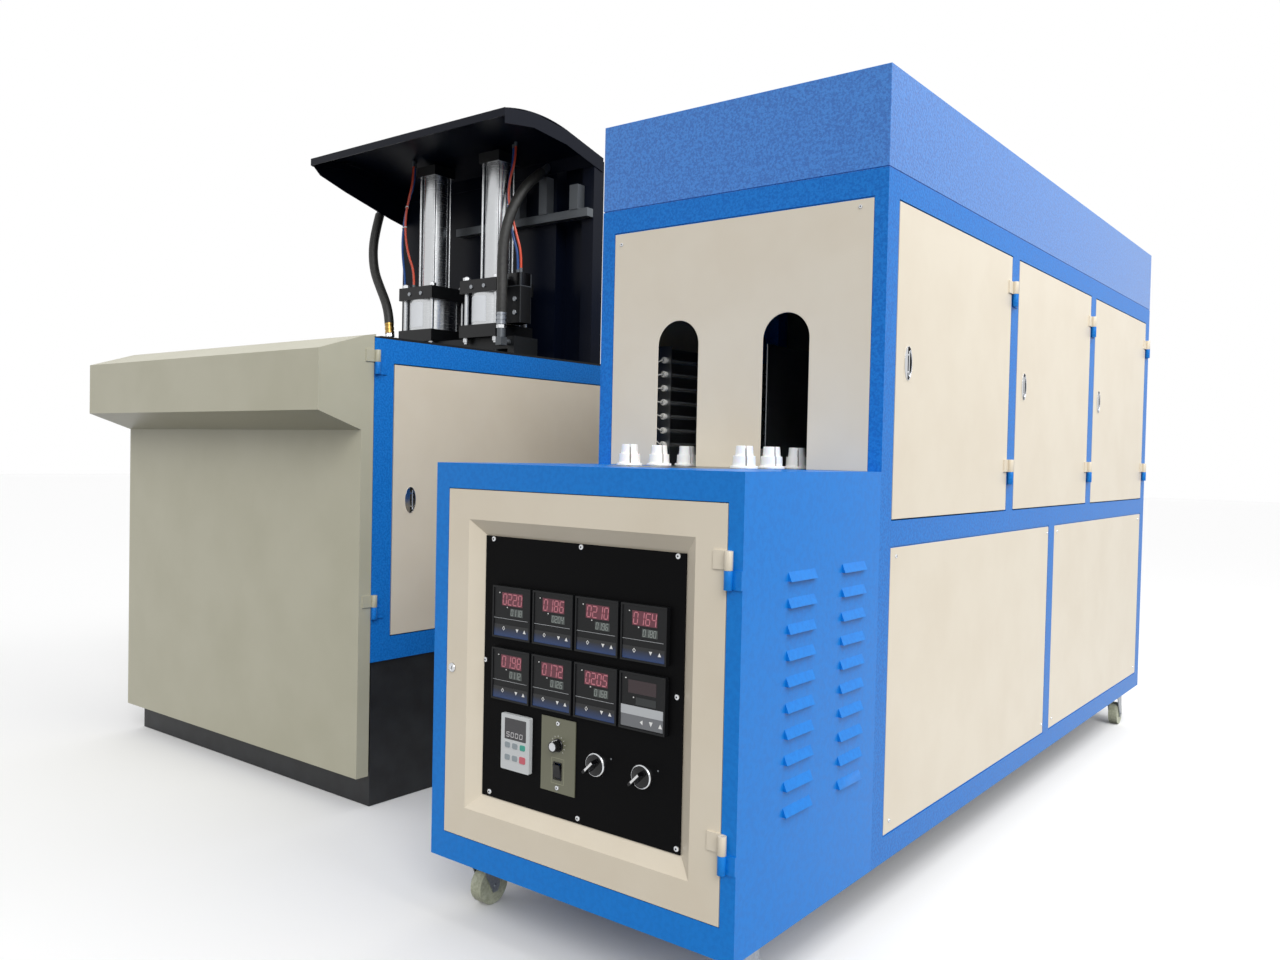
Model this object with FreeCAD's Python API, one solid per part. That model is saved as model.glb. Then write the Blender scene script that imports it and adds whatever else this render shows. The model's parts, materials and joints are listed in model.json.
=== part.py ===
import FreeCAD, Part
import math
import os

# Semi-automatic blow moulding machine: a rotary infrared preform heater and, an aisle to its
# left, the blow unit with its clamp, two blow cylinders and hinged console.
# Millimetres, +Z up, +X to the machine's right, +Y from the operator's side to the rear.
# The origin is the centre of the whole footprint, on the floor.

V = FreeCAD.Vector

# ---------------------------------------------------------------- driving dimensions
SHEET = 2.0                 # folded steel sheet
GAP = 3.0                   # reveal round doors and panels
FIT = 0.3                   # clearance between moving curved faces
RUNNING = 0.05              # radial clearance of a shaft or pin in its bore

OVEN_W = 700.0              # heater, across its side faces
OVEN_L = 2676.0             # heater, control box front to rear face
BOX_L = 484.0               # control box in front of the tunnel
BASE_Z = 123.0              # underside of the heater, on its casters
TABLE_Z = 886.0             # top of the table that the preforms run on
HOOD_Z = 1461.0             # bottom of the heater's hood
OVEN_TOP = 1655.0
AISLE = 579.5               # between the two cabinets
TUBE = 50.0                 # heater frame, square tube
MID_RAIL_Z = 741.0          # underside of the heater's middle rails
TOP_RAIL_H = 51.0
MARGIN_L = 35.0             # front face strip left of door and panel
MARGIN_R = 28.0
BAYS = 3                    # side doors along the heater
SEAT_W = 12.0               # flat strips that panels and doors lie against
SEAT_T = 3.0
DOOR_DEPTH = 18.0
LEDGE = 21.0                # table bearer below the table's top
LEDGE_W = 20.0
TABLE_T = 3.0
HOOD_GROOVE = 2.0           # shadow line between the hood and the frame
UPPER_HINGES = (92.0, 89.0)     # hinge seams from the bottom and the top of a side door

KNUCKLE_R = 7.0             # lift-off hinges
KNUCKLE_H = 30.0
PIN_R = 3.0
LEAF_T = 3.0
LEAF_W = 24.0
PIN_SET = 8.0               # hinge pin beyond the door's edge
PIN_STOP = 2.0              # pin ends this far below its knuckle's top
PROUD = 2 * KNUCKLE_R + FIT  # how far hinges stand out of a face

# boat-shaped flush latches
LATCH_W = 36.0
LATCH_H = 68.0
LATCH_SET = 56.0            # latch centre from the door's front edge
LATCH_DEPTH = 12.0
LEVER_T = 4.0

BLOW_W = 1172.4             # blow unit
BLOW_L = 1580.0
BLOW_BACK = 295.7           # its frame's front lies this far behind the control box front
PLINTH_H = 370.0
PLINTH_INSET = 10.0
PLINTH_WALL = 5.0
BLOW_TUBE = 60.0
DECK_Z = 1188.0             # top of the blow unit's frame
DECK_T = 6.0
SIDE_DOOR_END = 957.0       # middle posts start this far behind the frame's front
CROSS_OFF = 45.0            # cross beams stand this far off the cylinder plane
BLOW_HINGE_IN = 90.0        # hinge seams from the ends of the blow unit's side door

# console door: distances in front of the frame's front, and heights
SKIRT_OUT = 38.0            # plain lower part of the door
DESK_OUT = 164.0            # the console that it swells into
DOOR_BOTTOM = 83.0
DESK_START = 956.0          # where the swell starts
DESK_CHIN = 1000.0          # lower front edge of the console
DESK_BROW = 1148.0          # upper front edge
DESK_REST = 3.0             # the desk's sheet lies this far above the frame
DESK_LIP = 6.0
DESK_LIP_OUT = 30.0
DESK_OVER = 3.0             # its lip reaches this far over the deck
CONSOLE_BACK = 1.5          # gap between the door and the frame
CONSOLE_HINGES = (511.0, 1127.0)

TOTAL_X = OVEN_W + AISLE + BLOW_W + PROUD
TOTAL_Y = OVEN_L + PROUD
OX1 = TOTAL_X / 2 - PROUD
OX0 = OX1 - OVEN_W
OY0 = -TOTAL_Y / 2 + PROUD
OY1 = OY0 + OVEN_L
TY0 = OY0 + BOX_L
BX1 = OX0 - AISLE
BX0 = BX1 - BLOW_W
BY0 = OY0 + BLOW_BACK
BY1 = BY0 + BLOW_L
BAY = (OVEN_L - BOX_L - (BAYS + 1) * TUBE) / BAYS

# control door and its instruments
CONTROL_Z0 = 174.0          # opening in the control box front
CONTROL_Z1 = 838.0
EDGE = 1.5                  # gap round the control door
DISH = (56.0, 59.0, 56.0, 56.0)   # door edge to dish, left, right, bottom, top
BEVEL = 29.0                # width of the dish's sloping sides
DISH_DEPTH = 20.0
PANEL_T = 3.0
DISH_LIP = 20.0
METER = 96.0                # square instruments
METER_PITCH = 102.0
METER_ROWS = (613.0, 498.0)
METER_BODY = 91.0
KEYPAD = (-138.0, 375.5, 72.0, 103.0)      # centre from panel centre, height, size
SPEED_PLATE = (-37.5, 371.5, 81.0, 133.0)
SELECTORS = (52.0, 152.0)
SELECTOR_Z = 374.0
RING_R = 21.0
RING_WALL = 3.0
RING_OUT = 8.0              # how far a selector's collar stands out
STEM_OUTER = 11.0           # body of a selector behind the panel
STUB_R = 3.0                # shaft of a knob
STUB_L = 10.0
KNOB_R = 12.0
KNOB_L = 16.0
LEVER_W = 8.0
LEVER_OUT = 24.0
LEVER_TAIL = 19.0
LEVER_HEAD = 15.0
METER_PROUD = 8.0
METER_DEEP = 60.0
KEYPAD_PROUD = 8.0
BOX_BACK = 14.0             # keypad's body behind the panel
CUTOUT_EDGE = 8.0           # panel cut-outs inside the keypad's and plate's edges
CUTOUT_END = 16.0
ROCKER_W = 16.0
ROCKER_H = 28.0
LOCK_R = 9.0
LOCK_IN = 16.0              # lock centre from the door's free edge
LOCK_DROP = 12.0            # and below its middle
CONTROL_HINGE_Z = (117.0, 103.0)    # hinge seams from the door's bottom and top

# louvres in the control box's right side
LOUVRE_COLUMNS = ((140.0, 230.0), (332.0, 420.0))
LOUVRES = 10
LOUVRE_Z = 706.0
LOUVRE_STEP = 43.2
LOUVRE_H = 16.0
LOUVRE_OUT = 7.0

# holder loop
CHAIN_PITCH = 25.4
TEETH = 33
STATION_LINKS = 4
LOOP_FRONT = 286.4          # front sprocket axis behind the control box front
LOOP_REAR = 370.0           # least distance of the rear sprocket axis from the rear face
LOOP_X = -347.85            # loop centre from the heater's right face
FIRST_LEFT = 36.6           # first holder behind the front sprocket axis
CHAIN_DROP = 26.0           # chain's middle plane below the table top
CHAIN_W = 22.0
LINK_T = 3.0
SLOT_W = 14.0
HOLDER_R = 26.5
HOLDER_STEPS = ((26.5, 5.0), (20.0, 24.0), (15.5, 43.0))
HOLDER_LIFT = 1.0
STEM_R = 5.0
SPROCKET_T = 12.0
TOOTH_ROOT = 8.0
TOOTH_TIP = 5.0
HUB_R = 28.0
SHAFT_R = 12.0
LINK_PIN = 12.0
BEAM_TOP = 835.0
BEAM_W = 80.0
BEAM_PAST = 60.0            # beam beyond the sprocket axes
RAIL_W = 20.0
CROSSBARS = 5
CROSSBAR_W = 30.0
CROSSBAR_H = 13.0
CROSSBAR_IN = 20.0          # first crossbar from the straight run's end
GEARBOX_W = 120.0
GEARBOX_H = 120.0
GEARBOX_NECK = 45.0
GEARBOX_CLEAR = 10.0        # gearbox below the cross members
SHAFT_DEEP = 10.0           # drive shaft's end inside the gearbox
MOTOR_R = 55.0
MOTOR_H = 190.0

# lamps
LAMP_ROWS = 7
LAMP_PITCH = 32.3
LAMP_Z = 933.5
LAMP_R = 5.0
LAMP_SET = 99.7             # lamp axis outside the holder track
LAMP_END = 14.0
LAMP_CAP = 12.0             # half the length of a lamp's ceramic end
RACK_MARGIN = 40.0
RACK_TOP = 1160.0
RACK_BACK = 27.0            # reflector behind the lamps
RACK_REACH = 15.0           # end plates in front of them
MIDDLE_IN = 60.0            # middle reflector's ends inside the lamps and the sprocket

# front panel
ARCH_W = 107.0
ARCH_TOP = 1201.5

# casters
WHEEL_R = 37.5
WHEEL_W = 28.0
TRAIL = 25.0
CASTER_INSET = 45.0
CASTER_FRONT = 90.0
CASTER_REAR = 144.0
AXLE_R = 4.0
RACE_R = 24.0
RACE_H = 8.0
PLATE_T = 4.0
PLATE_HALF = (35.0, 42.0)
FORK_T = 3.0
FORK_GAP = 2.0
FORK_BACK = 4.0
WHEEL_BOSS = 13.0
LUG = 12.0                  # half width of a fork cheek at the axle

# blow cylinders, centred on the blow unit
CYL_PITCH = 316.0
CYL_BACK = 831.3            # cylinder axes behind the frame's front
BRIDGE_TOP = 1289.0
BRIDGE_T = 40.0
BRIDGE_W = 110.0
BRIDGE_L = 600.0
BRIDGE_FOOT = 30.0
BORE_GAP = 6.0              # bridge bore round a nozzle
DECK_FRONT = 20.0           # deck plate starts behind the desk
CAP = 174.0
CAP_H = 42.0
SEAL_BORE = 80.0
SEAL_WALL = 4.0
SEAL_L = 106.0
TOP_CAP = 94.0
TOP_CAP_H = 34.0
ROOF_CLEAR = 3.0            # top caps below the roof plate
CAP_STEP = 2.0              # upper cap is this much thicker
ROD_BORE = 40.0
ROD_WALL = 3.0
TIE_OFF = 70.0
TIE_R = 7.0
SMALL_TIE_OFF = 36.0
SMALL_TIE_R = 4.0
NUT_R = 11.0
NUT_H = 14.0
NUT_TOP = 10.0
TIE_END = (6.0, 2.0)        # thread beyond the lower and the upper nuts
PISTON_H = 40.0
ROD_PISTON_H = 30.0
ROD_TIP = 10.0              # stretch rod's tip above the nozzle's
NOZZLE_R = 25.0
NOSE_R = 16.0               # nozzle's tapered tip
NOSE_L = 12.0
NOZZLE_STROKE = 45.0
STRETCH_R = 8.0
POINT = 3.0                 # chamfer at the stretch rod's end
STRETCH_STROKE = 300.0

# clamp
MOULD_TOP = 1120.0
MOULD_H = 300.0
MOULD_W = 560.0
MOULD_T = 100.0
PLATEN_W = 800.0
PLATEN_T = 40.0
PLATEN_Z0 = 565.0
PLATEN_Z1 = 1110.0
CLAMP_STROKE = 160.0
TIE_BAR_R = 25.0
TIE_BAR_IN = 55.0           # tie bars from the platens' side edges
TIE_BAR_LOW = 75.0          # and from their lower and upper edges
TIE_BAR_NUT = 20.0
BED_H = 130.0
BED_W = 80.0
RAM_BORE = 80.0
RAM_WALL = 6.0
RAM_ROD_R = 30.0
RAM_Z = 838.0
RAM_CAP = 30.0
RAM_PISTON = 40.0
RAM_SPARE = 10.0
RAM_PLATE_IN = 60.0         # ram plate in front of the frame's rear tubes
GUIDE_R = 9.0               # guide pins between the mould halves
GUIDE_L = 35.0
GUIDE_ROOT = 5.0            # pin set into the fixed half, and spare depth of its bush
GUIDE_IN = 30.0
COOL_R = 6.0                # cooling ports
COOL_L = 40.0
COOL_IN = 30.0
COOL_SHARE = (0.2, 0.8)

# bottle cavity: radius and depth below the mould's top
BOTTLE = ((14.0, 0.0), (14.0, 18.0), (17.0, 19.0), (17.0, 22.0), (14.0, 23.0), (14.0, 30.0),
          (30.0, 58.0), (45.0, 95.0), (45.0, 150.0), (42.0, 155.0), (45.0, 160.0),
          (45.0, 195.0), (42.0, 200.0), (45.0, 205.0), (45.0, 255.0), (36.0, 268.0))
BOTTLE_CROWN = 258.0

# machine hood and back wall
HOOD_X0 = 102.0             # hood's left edge from the blow unit's left face
HOOD_W = 965.0
HOOD_PLATE = 3.0
WALL_BACK = 951.0           # back wall's front face behind the frame's front
UPRIGHT = 50.0
WALL_RIGHT = 165.0          # wall steps back this far from the hood's right edge
ROOF = ((541.0, 1929.0), (663.0, 1947.0), (813.0, 1933.0), (995.0, 1887.0))
LIP_H = 24.0
FLANGE_H = 46.0             # roof's turned-down right edge
CHEEK_LOW = ((541.0, 1905.0), (551.0, 1903.0), (577.0, 1879.0), (683.0, 1843.0),
             (749.0, 1824.0), (888.0, 1784.0), (995.0, 1759.0))
WALL_GAP = 7.0              # uprights below the roof

# air and oil lines
RAIL_Z = 1685.0
RAIL_H = 27.0
RAIL_T = 30.0
RAIL_START = 335.0          # valve rail from the hood's left edge
VALVES = ((-324.0, 91.0), (-198.0, 124.0), (-60.0, 81.0))   # from the hood's right edge, heights
VALVE_HALF = 18.0
VALVE_T = 34.0
SIDE_VALVE = (62.0, 37.0, 13.0)     # on the right cylinder: width, reach forward and back
SIDE_VALVE_UP = 60.0
HOSE_R = 17.0
TUBE_R = 4.0
CRIMP_R = 14.0
CRIMP_L = 60.0
PIPE_R = 10.0
PUSH_R = 6.0                # push-in fittings
ELBOW = 8.0


# ---------------------------------------------------------------- basic solids
def block(x0, x1, y0, y1, z0, z1):
    return Part.makeBox(x1 - x0, y1 - y0, z1 - z0, V(x0, y0, z0))


def rod(radius, start, end):
    axis = end - start
    return Part.makeCylinder(radius, axis.Length, start, axis)


def ring(outer, inner, start, end):
    return rod(outer, start, end).cut(rod(inner, start, end))


def prism(points, travel):
    return Part.Face(Part.makePolygon(points + [points[0]])).extrude(travel)


def join(pieces):
    return pieces[0].multiFuse(pieces[1:]).removeSplitter()


def less(shape, tools):
    for tool in tools:
        shape = shape.cut(tool)
    return shape


def turned(profile, centre):
    points = [V(centre.x + r, centre.y, centre.z + z) for r, z in profile]
    face = Part.Face(Part.makePolygon(points + [points[0]]))
    return face.revolve(centre, V(0, 0, 1), 360)


# ---------------------------------------------------------------- hinges and doors
def knuckle_pair(pin, z, door_way, frame_way):
    """Lift-off hinge at a pin; returns the door half and the frame half.
    The ways are unit vectors along the door face and along the frame face."""
    out = V(-door_way.y, door_way.x, 0)
    lower = V(pin.x, pin.y, z)
    upper = V(pin.x, pin.y, z + FIT)
    top = V(pin.x, pin.y, z + FIT + KNUCKLE_H)
    base = V(pin.x, pin.y, z - KNUCKLE_H)
    door = rod(KNUCKLE_R, upper, top).fuse(leaf(upper, top, door_way, out))
    door = door.cut(rod(PIN_R + RUNNING, lower, top))
    frame = rod(KNUCKLE_R, base, lower).fuse(leaf(base, lower, frame_way, out))
    frame = frame.fuse(rod(PIN_R, base, V(pin.x, pin.y, z + KNUCKLE_H - PIN_STOP)))
    return door, frame


def leaf(low, high, way, out):
    """Flat wing from a knuckle to the face it is welded to."""
    inner = low - out * (KNUCKLE_R + FIT)
    far = inner + way * (PIN_SET + LEAF_W) + out * LEAF_T
    xs = sorted((inner.x, far.x))
    ys = sorted((inner.y, far.y))
    return block(xs[0], xs[1], ys[0], ys[1], low.z, high.z)


def side_pin(face_x, edge_y):
    return V(face_x + KNUCKLE_R + FIT, edge_y + PIN_SET, 0)


def side_door(face_x, y0, y1, z0, z1, hinges):
    """Sheet pan in a right-hand face, hinged at its rear edge, with a latch cup."""
    pan = block(face_x - DOOR_DEPTH, face_x, y0, y1, z0, z1)
    pan = pan.cut(block(face_x - DOOR_DEPTH, face_x - SHEET, y0 + SHEET, y1 - SHEET,
                        z0 + SHEET, z1 - SHEET))
    cup = latch_hollow(face_x, y0, z0, z1, 0)
    shell = latch_hollow(face_x, y0, z0, z1, SHEET)
    pan = less(pan.fuse(shell), [cup])
    pin = side_pin(face_x, y1)
    halves = [knuckle_pair(pin, z, V(0, -1, 0), V(0, 1, 0))[0] for z in hinges]
    return join([pan] + halves)


def latch_centre(face_x, y0, z0, z1):
    return V(face_x, y0 + LATCH_SET, (z0 + z1) / 2)


def latch_hollow(face_x, y0, z0, z1, wall):
    c = latch_centre(face_x, y0, z0, z1)
    half_w = LATCH_W / 2 + wall
    half_h = LATCH_H / 2 + wall
    return block(face_x - LATCH_DEPTH - wall, face_x, c.y - half_w, c.y + half_w,
                 c.z - half_h, c.z + half_h)


def latch_pin(c):
    return V(c.x - LEVER_T / 2, c.y + LATCH_W / 4, c.z)


def door_latch(face_x, y0, z0, z1):
    """Flush paddle: a boat-shaped plate on a vertical pin across the cup."""
    c = latch_centre(face_x, y0, z0, z1)
    pin = latch_pin(c)
    reach = pin.y - (c.y - LATCH_W / 2 + FIT)
    half = LATCH_H / 2 - SHEET
    bow = reach * 0.45
    low = half * 0.45
    outline = [V(c.x, pin.y, c.z - half), V(c.x, pin.y, c.z + half),
               V(c.x, pin.y - bow, c.z + half), V(c.x, pin.y - reach, c.z + low),
               V(c.x, pin.y - reach, c.z - low), V(c.x, pin.y - bow, c.z - half)]
    plate = prism(outline, V(-LEVER_T, 0, 0))
    bar = rod(LEVER_T / 2, V(pin.x, pin.y, c.z - LATCH_H / 2 + FIT),
              V(pin.x, pin.y, c.z + LATCH_H / 2 - FIT))
    return join([plate, bar])


# ---------------------------------------------------------------- heater frame
def post_y(i):
    return TY0 + i * (BAY + TUBE)


def bay_doors():
    return [(post_y(i) + TUBE + GAP, post_y(i + 1) - GAP) for i in range(BAYS)]


DOOR_Z0 = MID_RAIL_Z + TUBE + GAP
DOOR_Z1 = HOOD_Z - TOP_RAIL_H - GAP
DOOR_HINGES = (DOOR_Z0 + UPPER_HINGES[0], DOOR_Z1 - UPPER_HINGES[1])
LOWER_Z0 = BASE_Z + TUBE
LOWER_MID = TY0 + (OVEN_L - BOX_L) / 2 - TUBE / 2


def lower_bays():
    return [(TY0 + TUBE, LOWER_MID), (LOWER_MID + TUBE, OY1 - TUBE)]


def side_seat(outer_x, inner_x, y0, y1, z0, z1):
    """Strips round an opening in a side face, welded inside the tubes."""
    frame = block(min(outer_x, inner_x), max(outer_x, inner_x), y0, y1, z0, z1)
    return frame.cut(block(min(outer_x, inner_x), max(outer_x, inner_x), y0 + SEAT_W,
                           y1 - SEAT_W, z0 + SEAT_W, z1 - SEAT_W))


def cross_seat(y0, y1, x0, x1, z0, z1):
    """The same strips in a front or rear face."""
    frame = block(x0, x1, y0, y1, z0, z1)
    return frame.cut(block(x0 + SEAT_W, x1 - SEAT_W, y0, y1, z0 + SEAT_W, z1 - SEAT_W))


def oven_frame():
    tubes = []
    top_z = HOOD_Z - TOP_RAIL_H
    for x0, x1 in ((OX0, OX0 + TUBE), (OX1 - TUBE, OX1)):
        for z0, z1 in ((BASE_Z, BASE_Z + TUBE), (MID_RAIL_Z, MID_RAIL_Z + TUBE), (top_z, HOOD_Z)):
            tubes.append(block(x0, x1, TY0, OY1, z0, z1))
        tubes.append(block(x0, x1, LOWER_MID, LOWER_MID + TUBE, BASE_Z, MID_RAIL_Z))
        tubes.append(block(x0, x1, OY1 - TUBE, OY1, BASE_Z, HOOD_Z))
        for i in (1, 2):
            tubes.append(block(x0, x1, post_y(i), post_y(i) + TUBE, MID_RAIL_Z, HOOD_Z))
    tubes.append(block(OX0, OX0 + MARGIN_L, TY0, TY0 + TUBE, BASE_Z, HOOD_Z))
    tubes.append(block(OX1 - MARGIN_R, OX1, TY0, TY0 + TUBE, BASE_Z, HOOD_Z))
    for i in range(BAYS + 1):
        for z0, z1 in ((MID_RAIL_Z, MID_RAIL_Z + TUBE), (top_z, HOOD_Z)):
            tubes.append(block(OX0, OX1, post_y(i), post_y(i) + TUBE, z0, z1))
    for y in (TY0, OY1 - TUBE):
        tubes.append(block(OX0, OX1, y, y + TUBE, BASE_Z, BASE_Z + TUBE))
    for x0, x1 in ((OX0 + TUBE, OX0 + TUBE + LEDGE_W), (OX1 - TUBE - LEDGE_W, OX1 - TUBE)):
        tubes.append(block(x0, x1, TY0 + TUBE, OY1 - SHEET - SEAT_T, TABLE_Z - LEDGE,
                           TABLE_Z - TABLE_T))
    return join(tubes + oven_seats() + oven_hinges())


def oven_seats():
    seats = []
    upper = [(post_y(i) + TUBE, post_y(i + 1)) for i in range(BAYS)]
    top_z = HOOD_Z - TOP_RAIL_H
    deep = OX1 - DOOR_DEPTH - FIT
    for y0, y1 in upper:
        seats.append(side_seat(deep, deep - SEAT_T, y0, y1, MID_RAIL_Z + TUBE, top_z))
        seats.append(side_seat(OX0 + SHEET, OX0 + SHEET + SEAT_T, y0, y1, MID_RAIL_Z + TUBE, top_z))
    for y0, y1 in lower_bays():
        for x0, x1 in ((OX1 - SHEET - SEAT_T, OX1 - SHEET), (OX0 + SHEET, OX0 + SHEET + SEAT_T)):
            seats.append(side_seat(x0, x1, y0, y1, LOWER_Z0, MID_RAIL_Z))
    for z0, z1 in ((LOWER_Z0, MID_RAIL_Z), (MID_RAIL_Z + TUBE, top_z)):
        seats.append(cross_seat(OY1 - SHEET - SEAT_T, OY1 - SHEET, OX0 + TUBE, OX1 - TUBE, z0, z1))
    front = block(OX0 + MARGIN_L, OX1 - MARGIN_R, TY0 + SHEET, TY0 + SHEET + SEAT_T,
                  TABLE_Z + HOLDER_LIFT, top_z)
    inner = block(OX0 + MARGIN_L + SEAT_W, OX1 - MARGIN_R - SEAT_W, TY0, TY0 + TUBE,
                  TABLE_Z, top_z - SEAT_W)
    seats.append(front.cut(inner))
    return seats


def oven_hinges():
    halves = []
    for y0, y1 in bay_doors():
        for z in DOOR_HINGES:
            halves.append(knuckle_pair(side_pin(OX1, y1), z, V(0, -1, 0), V(0, 1, 0))[1])
    return halves


def oven_hood():
    groove = HOOD_GROOVE
    shell = block(OX0, OX1, TY0, OY1, HOOD_Z + groove, OVEN_TOP)
    neck = block(OX0 + groove, OX1 - groove, TY0 + groove, OY1 - groove, HOOD_Z, HOOD_Z + groove)
    wall = groove + SHEET
    hollow = block(OX0 + wall, OX1 - wall, TY0 + wall, OY1 - wall, HOOD_Z, OVEN_TOP - SHEET)
    return join([shell, neck]).cut(hollow)


# ---------------------------------------------------------------- holder loop geometry
WHEEL_PITCH_R = CHAIN_PITCH / (2 * math.sin(math.pi / TEETH))
LOOP_CX = OX1 + LOOP_X
STATION_PITCH = STATION_LINKS * CHAIN_PITCH
STRAIGHT = OVEN_L - LOOP_FRONT - LOOP_REAR     # longest straight run that fits
STATIONS = int((2 * STRAIGHT + 2 * math.pi * WHEEL_PITCH_R) / STATION_PITCH)
RUN = (STATIONS * STATION_PITCH - 2 * math.pi * WHEEL_PITCH_R) / 2
LOOP_Y0 = OY0 + LOOP_FRONT
LOOP_Y1 = LOOP_Y0 + RUN
TRACK_L = LOOP_CX - WHEEL_PITCH_R
TRACK_R = LOOP_CX + WHEEL_PITCH_R
CHAIN_Z = TABLE_Z - CHAIN_DROP


def station(s):
    """Point on the loop; s runs rearwards on the left run, then forwards on the right."""
    turn = math.pi * WHEEL_PITCH_R
    if s <= RUN:
        return V(TRACK_L, LOOP_Y0 + s, 0)
    if s <= RUN + turn:
        a = (s - RUN) / WHEEL_PITCH_R
        return V(LOOP_CX - WHEEL_PITCH_R * math.cos(a), LOOP_Y1 + WHEEL_PITCH_R * math.sin(a), 0)
    return V(TRACK_R, LOOP_Y1 - (s - RUN - turn), 0)


def stations():
    """Every holder except those on the front curve, where the loop is left free."""
    limit = 2 * RUN + math.pi * WHEEL_PITCH_R
    points = []
    for k in range(STATIONS):
        s = FIRST_LEFT + k * STATION_PITCH
        if s <= limit:
            points.append(station(s))
    return points


def racetrack(radius, z0, z1):
    """Solid slab with two straight runs and two half-round ends."""
    a = V(LOOP_CX - radius, LOOP_Y0, z0)
    b = V(LOOP_CX - radius, LOOP_Y1, z0)
    c = V(LOOP_CX + radius, LOOP_Y1, z0)
    d = V(LOOP_CX + radius, LOOP_Y0, z0)
    rear = V(LOOP_CX, LOOP_Y1 + radius, z0)
    front = V(LOOP_CX, LOOP_Y0 - radius, z0)
    edges = [Part.LineSegment(a, b).toShape(), Part.Arc(b, rear, c).toShape(),
             Part.LineSegment(c, d).toShape(), Part.Arc(d, front, a).toShape()]
    return Part.Face(Part.Wire(edges)).extrude(V(0, 0, z1 - z0))


def loop_band(half, z0, z1):
    outer = racetrack(WHEEL_PITCH_R + half, z0, z1)
    return outer.cut(racetrack(WHEEL_PITCH_R - half, z0 - 1, z1 + 1))


# ---------------------------------------------------------------- control box, table, panels
def control_box():
    shell = block(OX0, OX1, OY0, TY0, BASE_Z, TABLE_Z)
    shell = shell.cut(block(OX0 + SHEET, OX1 - SHEET, OY0 + SHEET, TY0, BASE_Z + SHEET,
                            TABLE_Z - TABLE_T))
    door = block(OX0 + MARGIN_L, OX1 - MARGIN_R, OY0, OY0 + SHEET, CONTROL_Z0, CONTROL_Z1)
    slot = loop_band(SLOT_W / 2, TABLE_Z - TABLE_T, TABLE_Z)
    island = racetrack(WHEEL_PITCH_R, TABLE_Z - TABLE_T, TABLE_Z)
    shell = less(shell, [door, slot, island] + louvre_slots())
    seat_y = OY0 + DOOR_DEPTH + FIT
    frame = block(OX0 + MARGIN_L - SEAT_W, OX1 - MARGIN_R + SEAT_W, seat_y, seat_y + SEAT_T,
                  CONTROL_Z0 - SEAT_W, CONTROL_Z1 + SEAT_W)
    frame = frame.cut(block(OX0 + MARGIN_L + SEAT_W, OX1 - MARGIN_R - SEAT_W, seat_y,
                            seat_y + SEAT_T, CONTROL_Z0 + SEAT_W, CONTROL_Z1 - SEAT_W))
    jambs = frame_jambs(seat_y)
    halves = [knuckle_pair(control_pin(), z, V(-1, 0, 0), V(1, 0, 0))[1] for z in CONTROL_HINGES]
    return join([shell, frame] + jambs + louvres() + [trim_leaf(h) for h in halves])


def trim_leaf(half):
    """Cuts a frame leaf back to the box's edge."""
    return half.cut(block(OX1, OX1 + 100, OY0 - 50, OY0 + 50, 0, OVEN_TOP))


def frame_jambs(seat_y):
    """Return flanges that join the front sheet to the door's seat."""
    outer = block(OX0 + MARGIN_L - SHEET, OX1 - MARGIN_R + SHEET, OY0, seat_y,
                  CONTROL_Z0 - SHEET, CONTROL_Z1 + SHEET)
    inner = block(OX0 + MARGIN_L, OX1 - MARGIN_R, OY0, seat_y, CONTROL_Z0, CONTROL_Z1)
    return [outer.cut(inner)]


def louvre_places():
    for y0, y1 in LOUVRE_COLUMNS:
        for k in range(LOUVRES):
            yield OY0 + y0, OY0 + y1, LOUVRE_Z - k * LOUVRE_STEP


def louvre_slots():
    return [block(OX1 - SHEET, OX1, y0 + SHEET, y1 - SHEET, z, z + LOUVRE_H / 2)
            for y0, y1, z in louvre_places()]


def louvres():
    hoods = []
    for y0, y1, z in louvre_places():
        outer = prism([V(OX1, y0, z), V(OX1 + LOUVRE_OUT, y0, z), V(OX1, y0, z + LOUVRE_H)],
                      V(0, y1 - y0, 0))
        inner = prism([V(OX1 - 1, y0 + SHEET, z - SHEET),
                       V(OX1 + LOUVRE_OUT - SHEET, y0 + SHEET, z - SHEET),
                       V(OX1 + LOUVRE_OUT - SHEET, y0 + SHEET, z),
                       V(OX1, y0 + SHEET, z + LOUVRE_H - 2 * SHEET),
                       V(OX1 - 1, y0 + SHEET, z + LOUVRE_H - 2 * SHEET)],
                      V(0, y1 - y0 - 2 * SHEET, 0))
        hoods.append(outer.cut(inner))
    return hoods


def oven_table():
    """Plates that carry the preforms through the tunnel, either side of the holder slot."""
    z0 = TABLE_Z - TABLE_T
    outer = block(OX0 + TUBE, OX1 - TUBE, TY0 + TUBE, OY1 - TUBE, z0, TABLE_Z)
    sill = block(OX0 + MARGIN_L, OX1 - MARGIN_R, TY0, TY0 + TUBE, z0, TABLE_Z)
    outer = join([outer, sill]).cut(racetrack(WHEEL_PITCH_R + SLOT_W / 2, z0 - 1, TABLE_Z + 1))
    island = racetrack(WHEEL_PITCH_R - SLOT_W / 2, z0, TABLE_Z)
    return Part.makeCompound([outer, island])


def oven_front_panel():
    top = HOOD_Z - TOP_RAIL_H - GAP
    sheet = block(OX0 + MARGIN_L + GAP / 2, OX1 - MARGIN_R - GAP / 2, TY0, TY0 + SHEET,
                  TABLE_Z, top)
    return less(sheet, [arch(TRACK_L), arch(TRACK_R)])


def arch(x):
    spring = ARCH_TOP - ARCH_W / 2
    opening = block(x - ARCH_W / 2, x + ARCH_W / 2, TY0, TY0 + SHEET, TABLE_Z, spring)
    return opening.fuse(rod(ARCH_W / 2, V(x, TY0, spring), V(x, TY0 + SHEET, spring)))


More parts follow.
